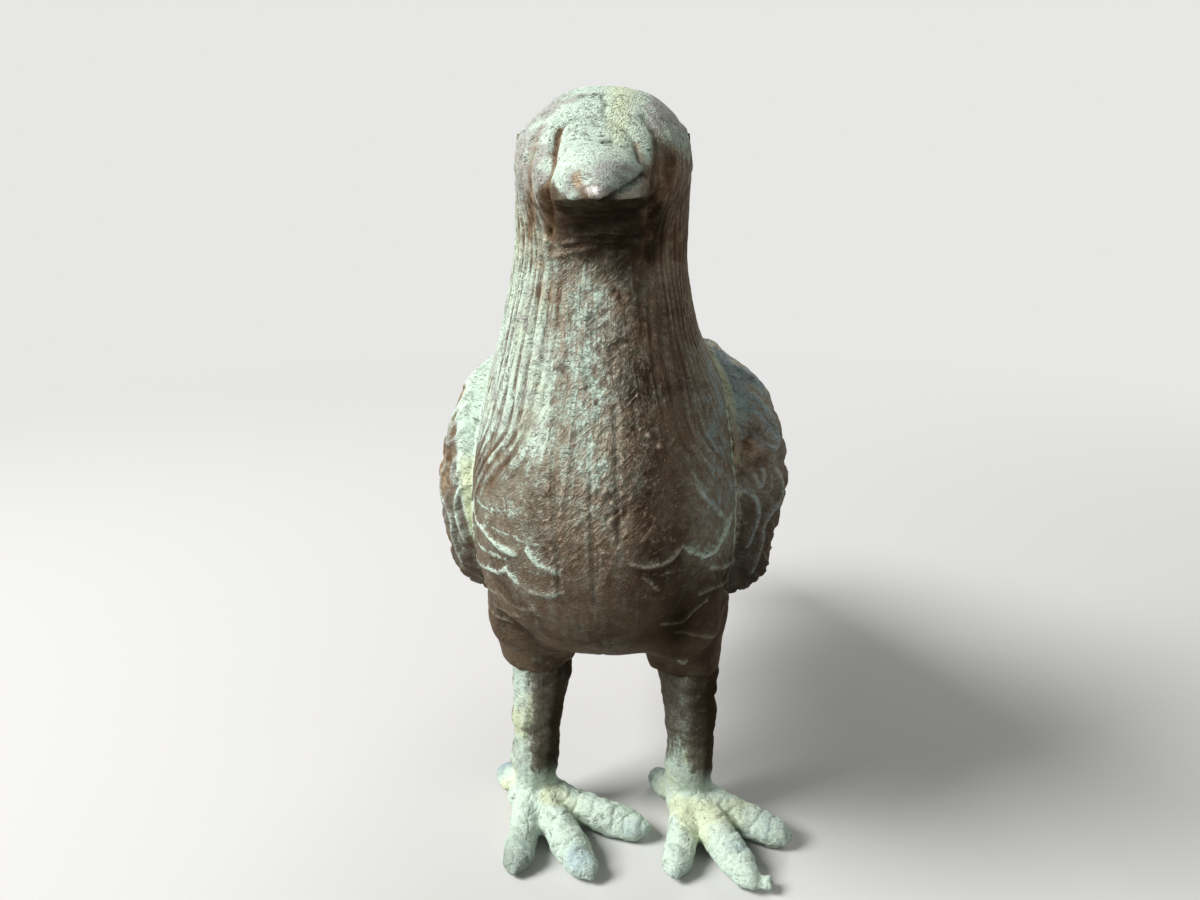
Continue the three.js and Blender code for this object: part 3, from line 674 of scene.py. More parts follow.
skin = Skin(body)
masks = body_masks(skin)
feather_heights, feet = body_feathers(skin, masks)
neck_heights, valleys, worm_tops = neck_relief(skin, masks)
heights = 0.3 + head_relief(skin) + neck_heights + averaged(body, feather_heights, 2)
heights += 0.4 * rough(skin.points, 15, 2) + 0.1 * rough(skin.points, 5, 2, seed=7)
heights += 0.05 * rough(skin.points, 1.6, 2, seed=9)
x, y, z = skin.points.T
seam_line = x - 0.25 * noise(x * 0, y / 6, z / 6)
seam = np.exp(-((seam_line / 0.45) ** 2)) * step(noise(x * 0 + 5, y / 7, z / 7), -0.4, 0.5)
heights -= 0.22 * seam * (1 - 0.8 * step(z, 172, 186))
heights *= 1 - 0.8 * step(z, height - 3, height)
raise_skin(body, heights)
points = points_of(body)
points[:, 2] += cuff_waves(points)
set_points(body, points)
print("body heights in mm, lowest and highest:", heights.min().round(2), heights.max().round(2))

# %% [markdown]
# ## Where the body is green, rusty and dark
#
# The crown and the forehead are almost wholly mint green, with more yellow in the lumps along
# the middle. Mint runs down the front of the neck and lies in the joint with the wing on the
# bird's right. The hollow under the bill is painted black-brown as shade, and the bird's left,
# away from the lamp, has painted shade too. Orange rust sits beside the bill and on the sides
# of the head, and the belly is bare brown metal. Each table below lists strokes as (strength,
# width, line), spots as (strength, radius, place), or patches as (strength, its stretches in
# mm from home).

# %% Tables of paint for the body
green_strokes = [(0.7, 1.7, cheek_lump), (0.5, 1.0, cheek_ridge), (0.3, 0.9, outer_ridge),
                 (-0.35, 1.3, cheek_groove), (-0.3, 0.6, bill_groove), (-0.5, 1.5, far_groove),
                 (-0.6, 1.1, bill_groove[:5])]
green_patches = [(0.52, {"x": (-8, -13), "y": (4, -8), "z": (112, 130, 180, 188)}),
                 (0.3, {"x": (18, 26), "z": (84, 100, 140, 150)}),
                 (0.3, {"x": (14, 18), "y": (-8, -16), "z": (164, 174, 184, 192)}),
                 (-0.15, {"z": (90, 76)}),
                 (-0.12, {"x": (4, 10, 16, 20), "z": (168, 150)}),
                 (-0.7, {"x": (-13, -11.5, -8, -6.5), "y": (-24, -32), "z": (166, 171, 176.5, 181)})]
lilac_patches = [(1.1, {"x": (7.0, 12), "z": (185, 192)}),
                 (0.6, {"x": (-7, -4, 6, 9), "y": (-44, -50), "z": (176, 178, 182, 187)}),
                 (0.7, {"x": (-8, -11), "y": (-12, -22), "z": (172, 180)})]
rust_strokes = [(1.0, 1.15, [(-3.6, -53.6, 181.2), (-3.3, -55.6, 179), (-2.4, -57.6, 177)]),
                (0.6, 1.2, [(7.9, -39.6, 187), (8.6, -42, 183.6), (9, -44.5, 180)]),
                (0.3, 1.3, cheek_groove), (0.55, 1.2, bill_groove[:5]), (0.5, 1.2, far_groove[3:])]
# The last rust spot takes rust off the tip of the bill, under its painted highlight
rust_spots = [(0.4, 3.5, (-13, -28, 156)), (0.42, 3.2, (4, -30, 156)), (0.35, 3, (8, -32, 150)),
              (0.45, 4, (-16.5, -35, 128)), (0.25, 6, (-24, -30, 118)), (0.25, 4, (-26, -28, 110)),
              (0.3, 1.6, (13.5, -38, 124)), (0.35, 3, (12.5, -36, 178)), (0.3, 3, (14, -33, 184)),
              (-0.5, 2.0, (0.4, -58.9, 177.0))]
dark_strokes = [(0.3, 0.5, bill_groove), (0.35, 0.45, dome_line), (0.5, 0.4, crown_crack),
                (0.9, 0.5, brow_nick), (0.9, 0.6, gape_left), (0.2, 0.7, gape_right)]
# The second dark spot, beside the tip of the bill, is painted shade
dark_spots = [(0.45, 3, (11.5, -36.5, 186.5)), (0.35, 1.5, (3.6, -56.2, 178.4))]
# Most dark patches are painted shade on the bird's left, which faces away from the lamp, from the flank up
# to the side of the head; one is darker towards the bottom of the body
dark_patches = [(0.4, {"x": (9, 11, 13, 15), "z": (160, 168, 174, 180)}),
                (0.22, {"x": (0, 12), "z": (60, 74, 168, 176)}),
                (0.25, {"x": (8, 20, 18, 24), "y": (-8, -20), "z": (168, 150)}),
                (0.35, {"x": (-16, 12), "z": (104, 78)}),
                (0.3, {"x": (9, 13), "z": (160, 175)}),
                (0.2, {"x": (12, 18), "z": (62, 72, 88, 98)}),
                (0.4, {"x": (6.5, 9, 11, 13), "y": (-34, -38), "z": (174, 176, 179, 184)})]
print("patches of paint on the body:", len(green_patches + lilac_patches + dark_patches))


# %% Paint the body
def body_green(skin, feet):
    """How much verdigris lies at each point"""
    x, y, z = skin.points.T
    up = skin.normals[:, 2]
    ragged = 5 * noise(x / 6, y / 6, z / 6) + 3 * noise(x / 2.5, y / 2.5, z / 4)
    crown = step(z + 6 * up - 0.5 * np.maximum(x, 0) + ragged * step(y, -24, -8), 172, 188)
    crown *= 1 - 0.35 * step(y, -16, 2)
    front = np.exp(-(((x + 4) / 7) ** 2)) * skin.patch(y=(0, -8), z=(100, 122, 158, 166))
    right = skin.patch(x=(-9, -16), y=(14, 0), z=(88, 110, 166, 176))
    forehead = skin.patch(x=(-14, -6, 6, 14), z=(172, 179))
    green = 0.2 + 0.85 * crown + (0.34 * front + 0.22 * right + 0.35 * forehead) * (1 - crown)
    green += 0.25 * step(y, 10, 22) * step(up, 0, 0.6)
    green += skin.patches(green_patches) + skin.strokes(green_strokes)
    return green + 0.2 * skin.spot((2, -37, 69), 7) + 0.3 * feet * step(x, 6, -6)


def body_lilac(skin):
    """Where the crust is lilac grey, and over 1 at the tip of the bill, where a white highlight is painted
    """
    x, _, z = skin.points.T
    uneven = 0.5 * rough(skin.points * np.array([0.5, 0.5, 1.8]), 2.4, 3, seed=21)
    lilac = 0.5 * np.exp(-(((x + 7) / 4) ** 2)) * step(z, 190, 195) + skin.patches(lilac_patches)
    lilac = np.clip(lilac + uneven, 0, 0.85) * step(z, 168, 174)
    beige = skin.patch(x=(-7, -13), y=(4, -8), z=(112, 130, 172, 182))
    lilac += beige * (0.3 + 0.35 * rough(skin.points, 5, 3, seed=24))
    # A painted white highlight on the tip of the bill
    return lilac + 1.7 * skin.spot((0.2, -58.5, 177.6), 2.2)


def body_rust(skin):
    """How much orange rust lies at each point"""
    x, _, z = skin.points.T
    cheeks = step(np.abs(x - 1), 9, 13) * skin.patch(y=(-12, -22), z=(160, 168, 184, 192))
    rust = 0.12 + 0.24 * cheeks + 0.2 * step(np.abs(x), 9, 14) * within(z, 150, 160, 166, 172)
    rust += 0.1 * skin.patch(x=(4, 10), z=(150, 165, 180, 196))
    blotches = step(rough(skin.points, 4, 3, seed=25), 0, 0.8)
    rust += 0.35 * blotches * skin.patch(x=(-9, -13), z=(152, 162, 174, 184))
    rust += skin.spots(rust_spots) + skin.strokes(rust_strokes)
    return rust + 0.3 * throat_share(skin.points, 157, 1.0)


def body_dark(skin):
    """How much black-brown lies at each point: painted shade in the throat and low on the left, and dark
    lines in the gape
    """
    x, y, z = skin.points.T
    frayed = 1.2 * noise(x / 1.2, y / 3, z / 4) + 1.0 * noise(x / 3, y / 3, z / 3)
    # Painted shade in the hollow under the bill, nearly black
    throat = throat_share(skin.points, 157, 1.0 + frayed)
    patchy = rough(skin.points * np.array([0.6, 1, 1.5]), 2.6, 3, seed=31)
    dark = throat * (0.84 + 0.12 * skin.patch(x=(-5, 6), z=(164, 172)) + 0.2 * patchy)
    dark += 1.2 * throat * (1 - throat) * rough(skin.points, 2.5, 3, seed=32)
    dark += skin.patches(dark_patches) + skin.spots(dark_spots) + skin.strokes(dark_strokes)
    return np.clip(dark, 0, 1)


# %% The pale rims of the big scallops on the flanks
# Each row is (strength, width, line)
arc_rows = {
    "right": [
        (0.7, 0.5, [(-31.1, -20, 104), (-28.3, -27.1, 101.1), (-25.1, -32.5, 100.2),
                    (-21.9, -36, 98.8), (-18.3, -39.1, 98.9)]),
        (0.8, 0.7, [(-25.8, -31.3, 100.4), (-22.5, -35.4, 99.2), (-19.2, -38.4, 98.8)]),
        (0.6, 0.5, [(-31, -16, 88.4), (-29.6, -19.5, 88.4), (-25.8, -28.9, 90.7),
                    (-23.2, -32.8, 91.9), (-20.8, -36.2, 94.4)]),
        (0.75, 0.65, [(-26.4, -28, 90.4), (-23.4, -32.6, 91.7), (-21, -36, 94)]),
        (0.5, 0.8, [(-15.6, -40.8, 100.4), (-13.2, -41.9, 97.7), (-10.8, -42.6, 97),
                    (-8.8, -43.2, 95.9)]),
        (0.5, 0.8, [(-20.4, -36.3, 93.2), (-17.7, -37.6, 91.2), (-14.8, -39.3, 89.9),
                    (-11.4, -40.7, 90), (-8.4, -42.2, 91)]),
        (0.35, 0.6, [(-27, -18, 77), (-22.7, -25, 78.1), (-19.3, -30.6, 79.7)]),
        (0.3, 0.6, [(-24.3, -27.8, 84.7), (-20.6, -31.7, 83.4), (-17.5, -34.4, 83.3),
                    (-14.6, -37.5, 84.7)]),
        (0.5, 0.5, [(-29.4, -3.1, 65), (-26.1, -8.2, 66), (-22.5, -10.9, 67)]),
        (0.35, 0.45, [(-31, -17, 97), (-28.6, -24.5, 95), (-25.5, -30.5, 95.5), (-22.3, -35, 96.4)]),
        (0.3, 0.45, [(-30.4, -14, 80.5), (-27.6, -21.5, 81.5), (-24.6, -27.6, 84)]),
        (0.3, 0.45, [(-29.6, -12, 73.5), (-26.4, -18.5, 73), (-22.6, -23, 74)])],
    "left": [
        (0.5, 0.6, [(7.8, -43.7, 98.8), (10.6, -42.7, 98), (13.4, -41.8, 98.3),
                    (15.8, -40.5, 99), (18.3, -39.1, 101.7)]),
        (0.6, 0.6, [(18.3, -39.1, 101.7), (20.3, -37.7, 99.9), (23.4, -33.8, 97.4),
                    (26.6, -29.5, 97.5), (29, -25.9, 100.5), (30.2, -22.8, 102.6)]),
        (0.5, 0.6, [(25.2, -30.9, 93), (28.1, -24.1, 90.3), (31, -14, 88)]),
        (0.45, 0.6, [(22.6, -30.9, 86.5), (26.7, -24.6, 85), (31, -8, 80.5)]),
        (0.5, 0.6, [(14.6, -34.6, 80.1), (18.9, -30.8, 79.5), (21.6, -29.7, 81.5),
                    (24.5, -26.4, 82.7)]),
        (0.45, 0.6, [(17.8, -28.4, 75.5), (23.6, -11.3, 69), (27.4, -8.3, 70), (30.4, -3.4, 71)]),
        (0.3, 0.6, [(10.6, -42.5, 95), (13.2, -40.5, 91.6)]),
        (0.35, 0.8, [(20.5, -35.1, 117.2), (22, -34.8, 113.6), (24.6, -32.6, 109.2),
                    (27.9, -28, 104.8)])],
}


def strongest(skin, rows):
    """The strongest of several strokes at each point, each row (strength, width, line)"""
    return np.max([strength * skin.stroke(line, width) for strength, width, line in rows], axis=0)


arcs = {side: strongest(skin, arc_rows[side]) for side in arc_rows}
rims = 0.3 * arcs["right"] + 0.3 * np.sqrt(arcs["right"]) + 0.8 * np.sqrt(arcs["left"])
raise_skin(body, rims)
print("the scallops' rims stand out by up to", rims.max().round(2), "mm")

# %% Store the body's paint
wing_gap = np.min([distance_to(skin.points, frame["nodes"]["wing_" + side]) for side in SIDES], axis=0)
x, y, z = skin.points.T
joint = step(wing_gap, 2.8, 0.8) * step(y, 10, 2)
side_valleys = valleys * np.maximum(step(x, 12, -4), step(z, 165, 172))
# On the bird's left, away from the lamp, the scallops' rims are painted pale: partly verdigris, partly a
# painted highlight
green = body_green(skin, feet) + 0.85 * arcs["right"] + 0.8 * arcs["left"] + 0.7 * joint
# Mint on the crests of the pitted band, on the side toward the lamp: verdigris and painted highlight
# together
green += 0.28 * worm_tops * step(x, 14, -2)
crown_middle = step(z, 180, 188) * np.exp(-(((x - 4) / 3.6) ** 2))
bluish = step(x, 20, 26) * step(z, 100, 110) + 0.4 * step(x, -28, -32) * step(z, 110, 120)
hue = 0.7 * crown_middle - 0.8 * bluish * (1 - joint)
hue += 0.3 * skin.patch(x=(-7, -12), z=(116, 132, 172, 180))
hue += 0.9 * joint * step(x, 0, 10) + 0.7 * joint * skin.patch(x=(0, -10), z=(118, 100))
# The scallops' rims on the bird's left lose dark paint as part of their painted highlight
paint(body, green=green - 0.45 * side_valleys, lilac=body_lilac(skin), hue=hue,
      rust=body_rust(skin) + 0.2 * side_valleys - 0.4 * arcs["right"],
      dark=np.clip(body_dark(skin) + 0.2 * side_valleys - 0.3 * arcs["left"], 0, 1),
      hollow=hollows(body, heights + rims))
combed = np.maximum(masks["neck"], 0.5 * masks["band"]) + 0.4 * step(z, 100, 84)
paint_flow(body, 30 * neck_turn(skin.points) * np.sign(x), z, combed)
print("points in the joint with the wings:", int((joint > 0.5).sum()))

# %% [markdown]
# ## Saw the body in two
#
# Now the lump is cut where the casting's two half shells meet. A bisect leaves an open rim,
# which is filled, so that each half is a closed solid. The cut faces are flat and their rims
# sharp, or the light would run round the corner from the skin to the joint.

# %% One half of the sculpted body
def sawn_half(name, side):
    """The part of the body on one side of the middle, closed with a flat face"""
    mesh = bmesh.new()
    mesh.from_mesh(body.data)
    everything = mesh.verts[:] + mesh.edges[:] + mesh.faces[:]
    bmesh.ops.bisect_plane(mesh, geom=everything, dist=0.001 * MM, plane_co=home,
                           plane_no=(-side, 0, 0), clear_outer=True)
    for face in mesh.faces:
        face.smooth = True
    rim = [edge for edge in mesh.edges if edge.is_boundary]
    filled = bmesh.ops.triangle_fill(mesh, edges=rim, use_beauty=False)
    for item in filled["geom"]:
        if isinstance(item, bmesh.types.BMFace):
            item.smooth = False
    for edge in rim:
        edge.smooth = False
    bmesh.ops.recalc_face_normals(mesh, faces=mesh.faces)
    open_edges = sum(not edge.is_manifold for edge in mesh.edges)
    print(name, "has", len(mesh.faces), "faces and", open_edges, "open edges")
    return new_piece(name, mesh)


body_halves = {side: sawn_half("body_cast_" + side, sign_of[side]) for side in SIDES}
bpy.data.objects.remove(body)

# %% [markdown]
# ## The wings
#
# Each wing is a casting of its own, laid on the flank. Its front edge stands proud as a lip.
# Rows of small coverts follow that edge, then longer ones, and long flight feathers run back
# to the tip. The feathers are leaf-shaped, with raised rims, as they were modelled in wax.

# %% The outline of a wing, in mm from home
# Each row is how far back, and the heights of the wing's top and bottom there
wing_outline = [(5, 136, 71), (16, 140.5, 68.6), (31, 135, 67.5), (50, 124.5, 67.5), (72, 113, 71),
                (92, 103, 79), (110, 95.5, 86), (124, 88, 87)]
wing_places, wing_top, wing_bottom = zip(*wing_outline)
front_bow = 20
joint_reach = 31
half_width = 4.0
wing_rows = [(7, 0, 10, 3), (15, 0, 11, 4), (24, 0, 10, 5), (34, 1, 9, 6), (46, 2, 8, 6.5),
             (61, 4, 7, 7), (80, 8, 6, 9), (106, 22, 6, 10), (168, 62, 7, 14)]
wing_loops = [[(33.3, -8, 127.3), (36.1, -5.6, 129), (39.3, -5.8, 126.4), (41.3, -5.7, 122.7),
               (42.7, -6.8, 118.4), (42.1, -9.2, 116.2), (39.1, -11, 117.6), (36.4, -11, 120.3)],
              [(36.4, -8.2, 126), (40.1, -8.6, 121.6), (42.1, -8.2, 117.8)],
              [(38.3, -13, 112.7), (39.3, -13.2, 110), (38.4, -14, 107.4), (37, -14, 110.2)],
              [(33, -15.7, 106.9), (35.3, -15.2, 106.6), (37.6, -14.7, 103.9), (38.5, -14.1, 99.9),
               (37.6, -14.1, 96.1), (36.1, -13.5, 91)],
              [(42.1, -11.1, 111.2), (44, -9.6, 104.1), (41.6, -12.1, 100.2), (39.9, -13.2, 96.3),
               (40.3, -11.8, 90.9), (37.8, -8.8, 82.1)],
              [(28.8, 3.2, 138.3), (33.3, 1.7, 136.3), (38.8, -0.5, 131.2)],
              [(30.7, 3.1, 137.8), (35, 1.5, 135), (39.9, 1.2, 129.9)]]
shoulder_drop = {"left": 2.0, "right": 2.8}
# How far the outer face of each wing moves to the bird's left, height by height
shift_heights = [80, 88, 96, 106, 118, 130]
outer_shift = {"left": [-0.4, -1.3, -0.7, 1.0, 1.3, 0.9], "right": [1.7] * 6}


def wing_place(points):
    """How far a point lies from the joint in front, over the skin, and its share of the way down"""
    x, y, z = points.T
    top = np.interp(y, wing_places, wing_top)
    bottom = np.interp(y, wing_places, wing_bottom)
    down = np.clip((top - z) / (top - bottom), 0, 1)
    out = np.clip(np.abs(x) - joint_reach, 0, 12)
    return y - 4 + front_bow * np.sin(np.pi * down) + out * step(y, 30, 0), down


def cast_wing(side):
    """One wing in clay, its facets rubbed away and its net fine enough for feathers"""
    wing = copy_nodes("wing_cast_" + side, ["wing_" + side])
    raise_skin(wing, 0.8)
    applied(wing, "REMESH", mode="VOXEL", voxel_size=1.02 * MM)
    rub(wing, 16)
    points = points_of(wing)
    points[:, 2] -= shoulder_drop[side] * step(points[:, 2], 100, 138)
    outer = step(sign_of[side] * points[:, 0], 33, 42)
    points[:, 0] += np.interp(points[:, 2], shift_heights, outer_shift[side]) * outer
    set_points(wing, points)
    applied(wing, "SUBSURF", levels=1, render_levels=1)
    return wing


def wing_relief(skin, feathers, along, outside):
    """The heights of the feathers with their shafts and barbs, and of the raised loops"""
    leaf = feathers.heights(0.85, camber=0.5, rim=0.4, rim_width=0.9)
    leaf += 0.3 * feathers.shaft(half_width, 0.8)
    barbs = np.sin((feathers.edge * 0.8 + np.abs(feathers.place) * half_width) * 2 * np.pi / 1.9)
    leaf += 0.05 * barbs * step(along, 40, 60)
    loops = strongest(skin, [(1, 0.7, line) for line in wing_loops])
    near_loops = strongest(skin, [(1, 3.0, line) for line in wing_loops])
    leaf = leaf * (1 - 0.8 * near_loops) + 0.8 * loops + 0.4 * near_loops
    rim = np.exp(-((feathers.edge / 1.0) ** 2)) * outside * (1 - near_loops) + loops
    return leaf * step(along, 0, 3), rim


def right_colours(skin, along, rim, joint, to_body):
    """Paint for the right wing: rusty brown, with a mint band along the joint in front"""
    x, y, z = skin.points.T
    reach = np.interp(z, [86, 96, 112, 128], [1.5, 2.5, 4.5, 7])
    band = step(to_body, reach + 1.5, reach - 0.5) * step(along, 14, 8) * step(z, 84, 94)
    rust = 0.25 + 0.2 * step(noise(x / 9, y / 9, z / 9), -0.2, 0.5) - 0.4 * band - 0.3 * rim
    rust += 0.3 * step(to_body, 4, 7) * step(z, 100, 106) * step(along, 50, 20) * (1 - band)
    return {"green": 0.28 + 1.1 * band + 0.5 * joint + 0.4 * rim, "rust": rust,
            "dark": 0.35 * step(z, 92, 76),
            "hue": 1.0 * step(z, 122, 104) * np.maximum(joint, band) - 0.1,
            "lilac": (0.4 * rough(skin.points, 6, 2, seed=22) + 0.3) * (1 - band)}


def left_colours(skin, along, rim, joint):
    """Paint for the left wing: verdigris on the feathers' rims in a blue-grey that is a painted sheen,
    painted shade below and between the rims, one rusty spot
    """
    z = skin.points[:, 2]
    return {"green": 0.12 + 0.5 * rim + 0.2 * step(z, 100, 124) + 0.35 * joint,
            "rust": 0.1 + 0.65 * skin.spot((35.9, -13, 116.3), 5.5) + 0.3 * joint,
            # Painted shade on the lower front of the wing and between the rims
            "dark": 0.55 * step(z, 114, 84) * step(along, 40, 14) + 0.15 * (1 - rim),
            # The blue-grey of the crust is a painted sheen
            "hue": -0.9 + 1.8 * joint,
            "lilac": 0.4 * rough(skin.points, 6, 2, seed=22) + 0.3}


def sculpt_wing(wing, side):
    """Feathers, the lip in front, and the paint of one wing"""
    skin = Skin(wing, sign_of[side])
    x, y, z = skin.points.T
    warp = 2.4 * noise(x / 9, y / 11, z / 9) + 1.1 * noise(x / 4, y / 5 + sign_of[side], z / 4)
    along, down = wing_place(skin.points)
    outside = step(0.85 * skin.normals[:, 0] - 0.55 * skin.normals[:, 1], -0.1, 0.35)
    slant = 0.006 * step(along, 60, 0)
    feathers = Shingles(along + warp, down + 0.012 * warp - slant * along, wing_rows, fray=1.2,
                        seed=3 + sign_of[side])
    leaf, rim = wing_relief(skin, feathers, along, outside)
    heights = outside * (averaged(wing, leaf, 3) - 1.3) + 0.8 * (1 - outside)
    heights += 0.3 * rough(skin.points, 9, 2, seed=4) + 0.13 * rough(skin.points, 3, 2, seed=5)
    heights += 0.07 * rough(skin.points, 1.3, 2, seed=6)
    raise_skin(wing, heights)
    to_body = distance_to(skin.points * skin.mirror, frame["nodes"]["body_" + side])
    joint = step(to_body, 2.6, 1.0) * step(along, 14, 6)
    if side == "right":
        colours = right_colours(skin, along, rim, joint, to_body)
    else:
        colours = left_colours(skin, along, rim, joint)
    colours["green"] += 0.2 * feathers.foot(1.2) * outside + 0.25 * step(skin.normals[:, 2], 0.2, 0.8)
    paint(wing, hollow=hollows(wing, heights), **colours)
    paint_flow(wing, feathers.place * half_width + 11 * feathers.layer, along, 0.7 * outside)
    print(wing.name, "has", len(wing.data.polygons), "squares")


wings = {side: cast_wing(side) for side in SIDES}
for side in SIDES:
    sculpt_wing(wings[side], side)

# %% [markdown]
# ## The tail
#
# The tail is a fan of eight feathers let into the rump. The two in the middle lie on top, and
# each feather further out lies under its neighbour. Two rows of coverts hide the roots.

# %% Cast and sculpt the tail
fan_centre = 55
fan_half_angle = 0.29
tail_feathers = 8


def fan_place(points):
    """How far a point lies from the fan's centre, and how far across the fan, from -1 to 1"""
    x, y, _ = points.T
    return np.hypot(x, y - fan_centre), np.arctan2(x, y - fan_centre) / fan_half_angle


tail = copy_nodes("tail_cast", ["tail"])
applied(tail, "REMESH", mode="VOXEL", voxel_size=0.65 * MM)
rub(tail, 6)
applied(tail, "SUBSURF", levels=1, render_levels=1)
skin = Skin(tail)
x, y, z = skin.points.T
out, turn = fan_place(skin.points)
lane = np.abs(turn) * tail_feathers / 2
share = lane - np.floor(lane)
long_feathers = 0.75 * share - 0.3 * np.exp(-(((share - 0.5) / 0.06) ** 2)) + 0.12
coverts = Shingles(y - 84 + 1.5 * noise(x / 6, y / 6, z / 6), turn / 2 + 0.5,
                   [(6, 0, 6, 2.5), (13, 0, 7, 3), (21, 0, 6, 4)])
covered = step(coverts.edge, 29, 28)
leaf = np.where(covered > 0.5, coverts.heights(0.7, rim=0.3) + 0.5, long_feathers)
barbs = 0.05 * np.sin((out - 6 * np.abs(share - 0.5)) * 2 * np.pi / 1.7)
upper = step(skin.normals[:, 2], 0.0, 0.4)
heights = upper * averaged(tail, leaf + barbs * (1 - covered), 2) - 0.35
heights += (1 - upper) * 0.35 * long_feathers + 0.12 * rough(skin.points, 3, 3, seed=8)
heights *= step(y, 82, 86)
raise_skin(tail, heights)
green = 0.38 + 0.3 * coverts.foot(1.0) * covered + 0.3 * step(share, 0.15, 0) * (1 - covered)
paint(tail, green=green, rust=0.15 + 0.2 * step(noise(x / 12, y / 12, z / 12), 0, 0.6),
      dark=0.3 * (1 - upper), hollow=hollows(tail, heights), hue=0)
paint_flow(tail, 24 * turn, out, 0.7 + x * 0)
print("tail net:", len(tail.data.polygons), "squares")

# %% [markdown]
# ## The legs and feet
#
# Shank and foot are one casting. The toes are blunt, lumpy fingers with creases across their
# joints, and they are the greenest part, as water stood round them. The shanks are brown with
# green runs in front. The soles were ground, so they stay flat on the ground.

# %% Cast and sculpt the legs
foot_centres = {"left": (23.9, -0.5), "right": (-21.9, -0.5)}
foot_height = 15
shank_lean = {"left": 1.6, "right": -0.2}
shank_growth = 0.95
drop_place = (43.4, -29.8, 2.8)
drop_radius = 2.4


def cast_leg(side):
    """One leg in clay; the left one has a drop of metal left beside its middle toe"""
    leg = copy_nodes("leg_cast_" + side, ["leg_" + side])
    if side == "left":
        drop = bmesh.new()
        place = Matrix.Translation(home + Vector(drop_place) * MM)
        bmesh.ops.create_icosphere(drop, subdivisions=3, radius=drop_radius * MM, matrix=place)
        join_into(leg, new_piece("drop", drop))
    applied(leg, "REMESH", mode="VOXEL", voxel_size=0.7 * MM)
    rub(leg, 9)
    points = points_of(leg)
    points[:, 0] += shank_lean[side] * step(points[:, 2], 9, 30)
    set_points(leg, points)
    applied(leg, "SUBSURF", levels=1, render_levels=1)
    return leg


def leg_places(skin, side):
    """How far points lie from the foot's middle, if they are on the foot, and where green ran"""
    x, y, z = skin.points.T
    middle_x, middle_y = foot_centres[side]
    on_foot = step(z, foot_height + 3, foot_height - 3)
    run = np.exp(-(((x - middle_x + 2) / 3) ** 2)) * step(-skin.normals[:, 1], -0.1, 0.5)
    return np.hypot(x - middle_x, y - middle_y), on_foot, run


def leg_relief(skin, side):
    """The heights of lumps, creases over the toes' joints, cracks, and runs of verdigris"""
    x, y, z = skin.points.T
    from_middle, on_foot, run = leg_places(skin, side)
    wobble = 3.0 * noise(x / 6, y / 6, z / 6)
    crease_place = (from_middle + wobble) / 5.2
    crease = (1 - np.abs(np.sin(np.pi * crease_place))) ** 2.4 * step(from_middle, 9, 13)
    heights = -0.45 * crease * on_foot * step(skin.normals[:, 2], -0.2, 0.4)
    heights += 0.6 * rough(skin.points, 7, 2, seed=11) + 0.32 * rough(skin.points, 2.6, 2, seed=12)
    cracks = 1 - np.abs(rough(skin.points, 3.4, 2, seed=13))
    heights -= 0.3 * step(cracks, 0.9, 1.0) * on_foot
    heights += 0.5 * run * (1 - on_foot) * rough(np.stack([x, y, z / 4], axis=1), 2.2, 2, seed=14)
    return heights + (0.15 + shank_growth * (1 - on_foot))


def paint_leg(leg, skin, side, heights):
    """Verdigris on the foot and down the shank's front, and painted shade on the side away from the lamp"""
    x, y, z = skin.points.T
    leftward, _, upward = skin.normals.T
    from_middle, on_foot, run = leg_places(skin, side)
    # More verdigris on the side that faces the lamp, which is also a painted highlight there
    green = 0.26 + 0.74 * step(z, 22, 13) + 0.3 * run + 0.3 * step(leftward, 0.2, -0.6)
    stained_tip = skin.spot((-27.5, -27, 4), 7) if side == "right" else 0
    green -= 0.3 * step(z, 20, 34) if side == "left" else 0
    # Painted shade on the shank's side and the toes' sides that face away from the lamp
    shade = step(leftward, 0.1, 0.8) * (1 - on_foot)
    shaded_toe_side = step(leftward, 0.3, 0.9) * on_foot * step(upward, 0.5, 0)
    behind = step(y, 5, 12) * on_foot
    yellow = 0.8 * step(noise(x / 8, y / 8, z / 8 + 2), -0.3, 0.5) * step(from_middle, 30, 12)
    blue = 0.55 * step(from_middle, 14, 30) * step(noise(x / 7, y / 7, z / 7), -0.4, 0.5)
    dark = 0.75 * shade + 0.15 * (1 - on_foot) + 0.5 * stained_tip + 0.3 * shaded_toe_side + 0.2 * behind
    paint(leg, green=green - 0.5 * stained_tip, dark=dark, hollow=hollows(leg, heights),
          lilac=0.35 * rough(skin.points, 5, 2, seed=23) + 0.25 * (1 - on_foot),
          rust=0.08 + 0.15 * step(noise(x / 6, y / 6, z / 6 + 4), 0.1, 0.6),
          hue=yellow * (1 - behind) - blue - 0.6 * behind)
    paint_flow(leg, (x - foot_centres[side][0]) * 1.5, z, 0.3 * (1 - on_foot))


def sculpt_leg(leg, side):
    """The relief, the flat sole and the paint of one leg"""
    skin = Skin(leg)
    heights = leg_relief(skin, side)
    raise_skin(leg, heights)
    points = points_of(leg)
    sole = np.percentile(points[points[:, 2] < 2, 2], 2)
    points[:, 2] = np.maximum(points[:, 2] - sole * step(points[:, 2], 6, 1), 0)
    set_points(leg, points)
    paint_leg(leg, skin, side, heights)
    print(leg.name, "has", len(leg.data.polygons), "squares, its sole was", round(sole, 2), "mm up")


legs = {side: cast_leg(side) for side in SIDES}
for side in SIDES:
    sculpt_leg(legs[side], side)

# %% [markdown]
# ## Pins and eyes
#
# A pin through each cuff holds the leg. Its end was hammered over, so it is a low round knob
# with a dent. The eyes are domed beads with a ring cut round the pupil.

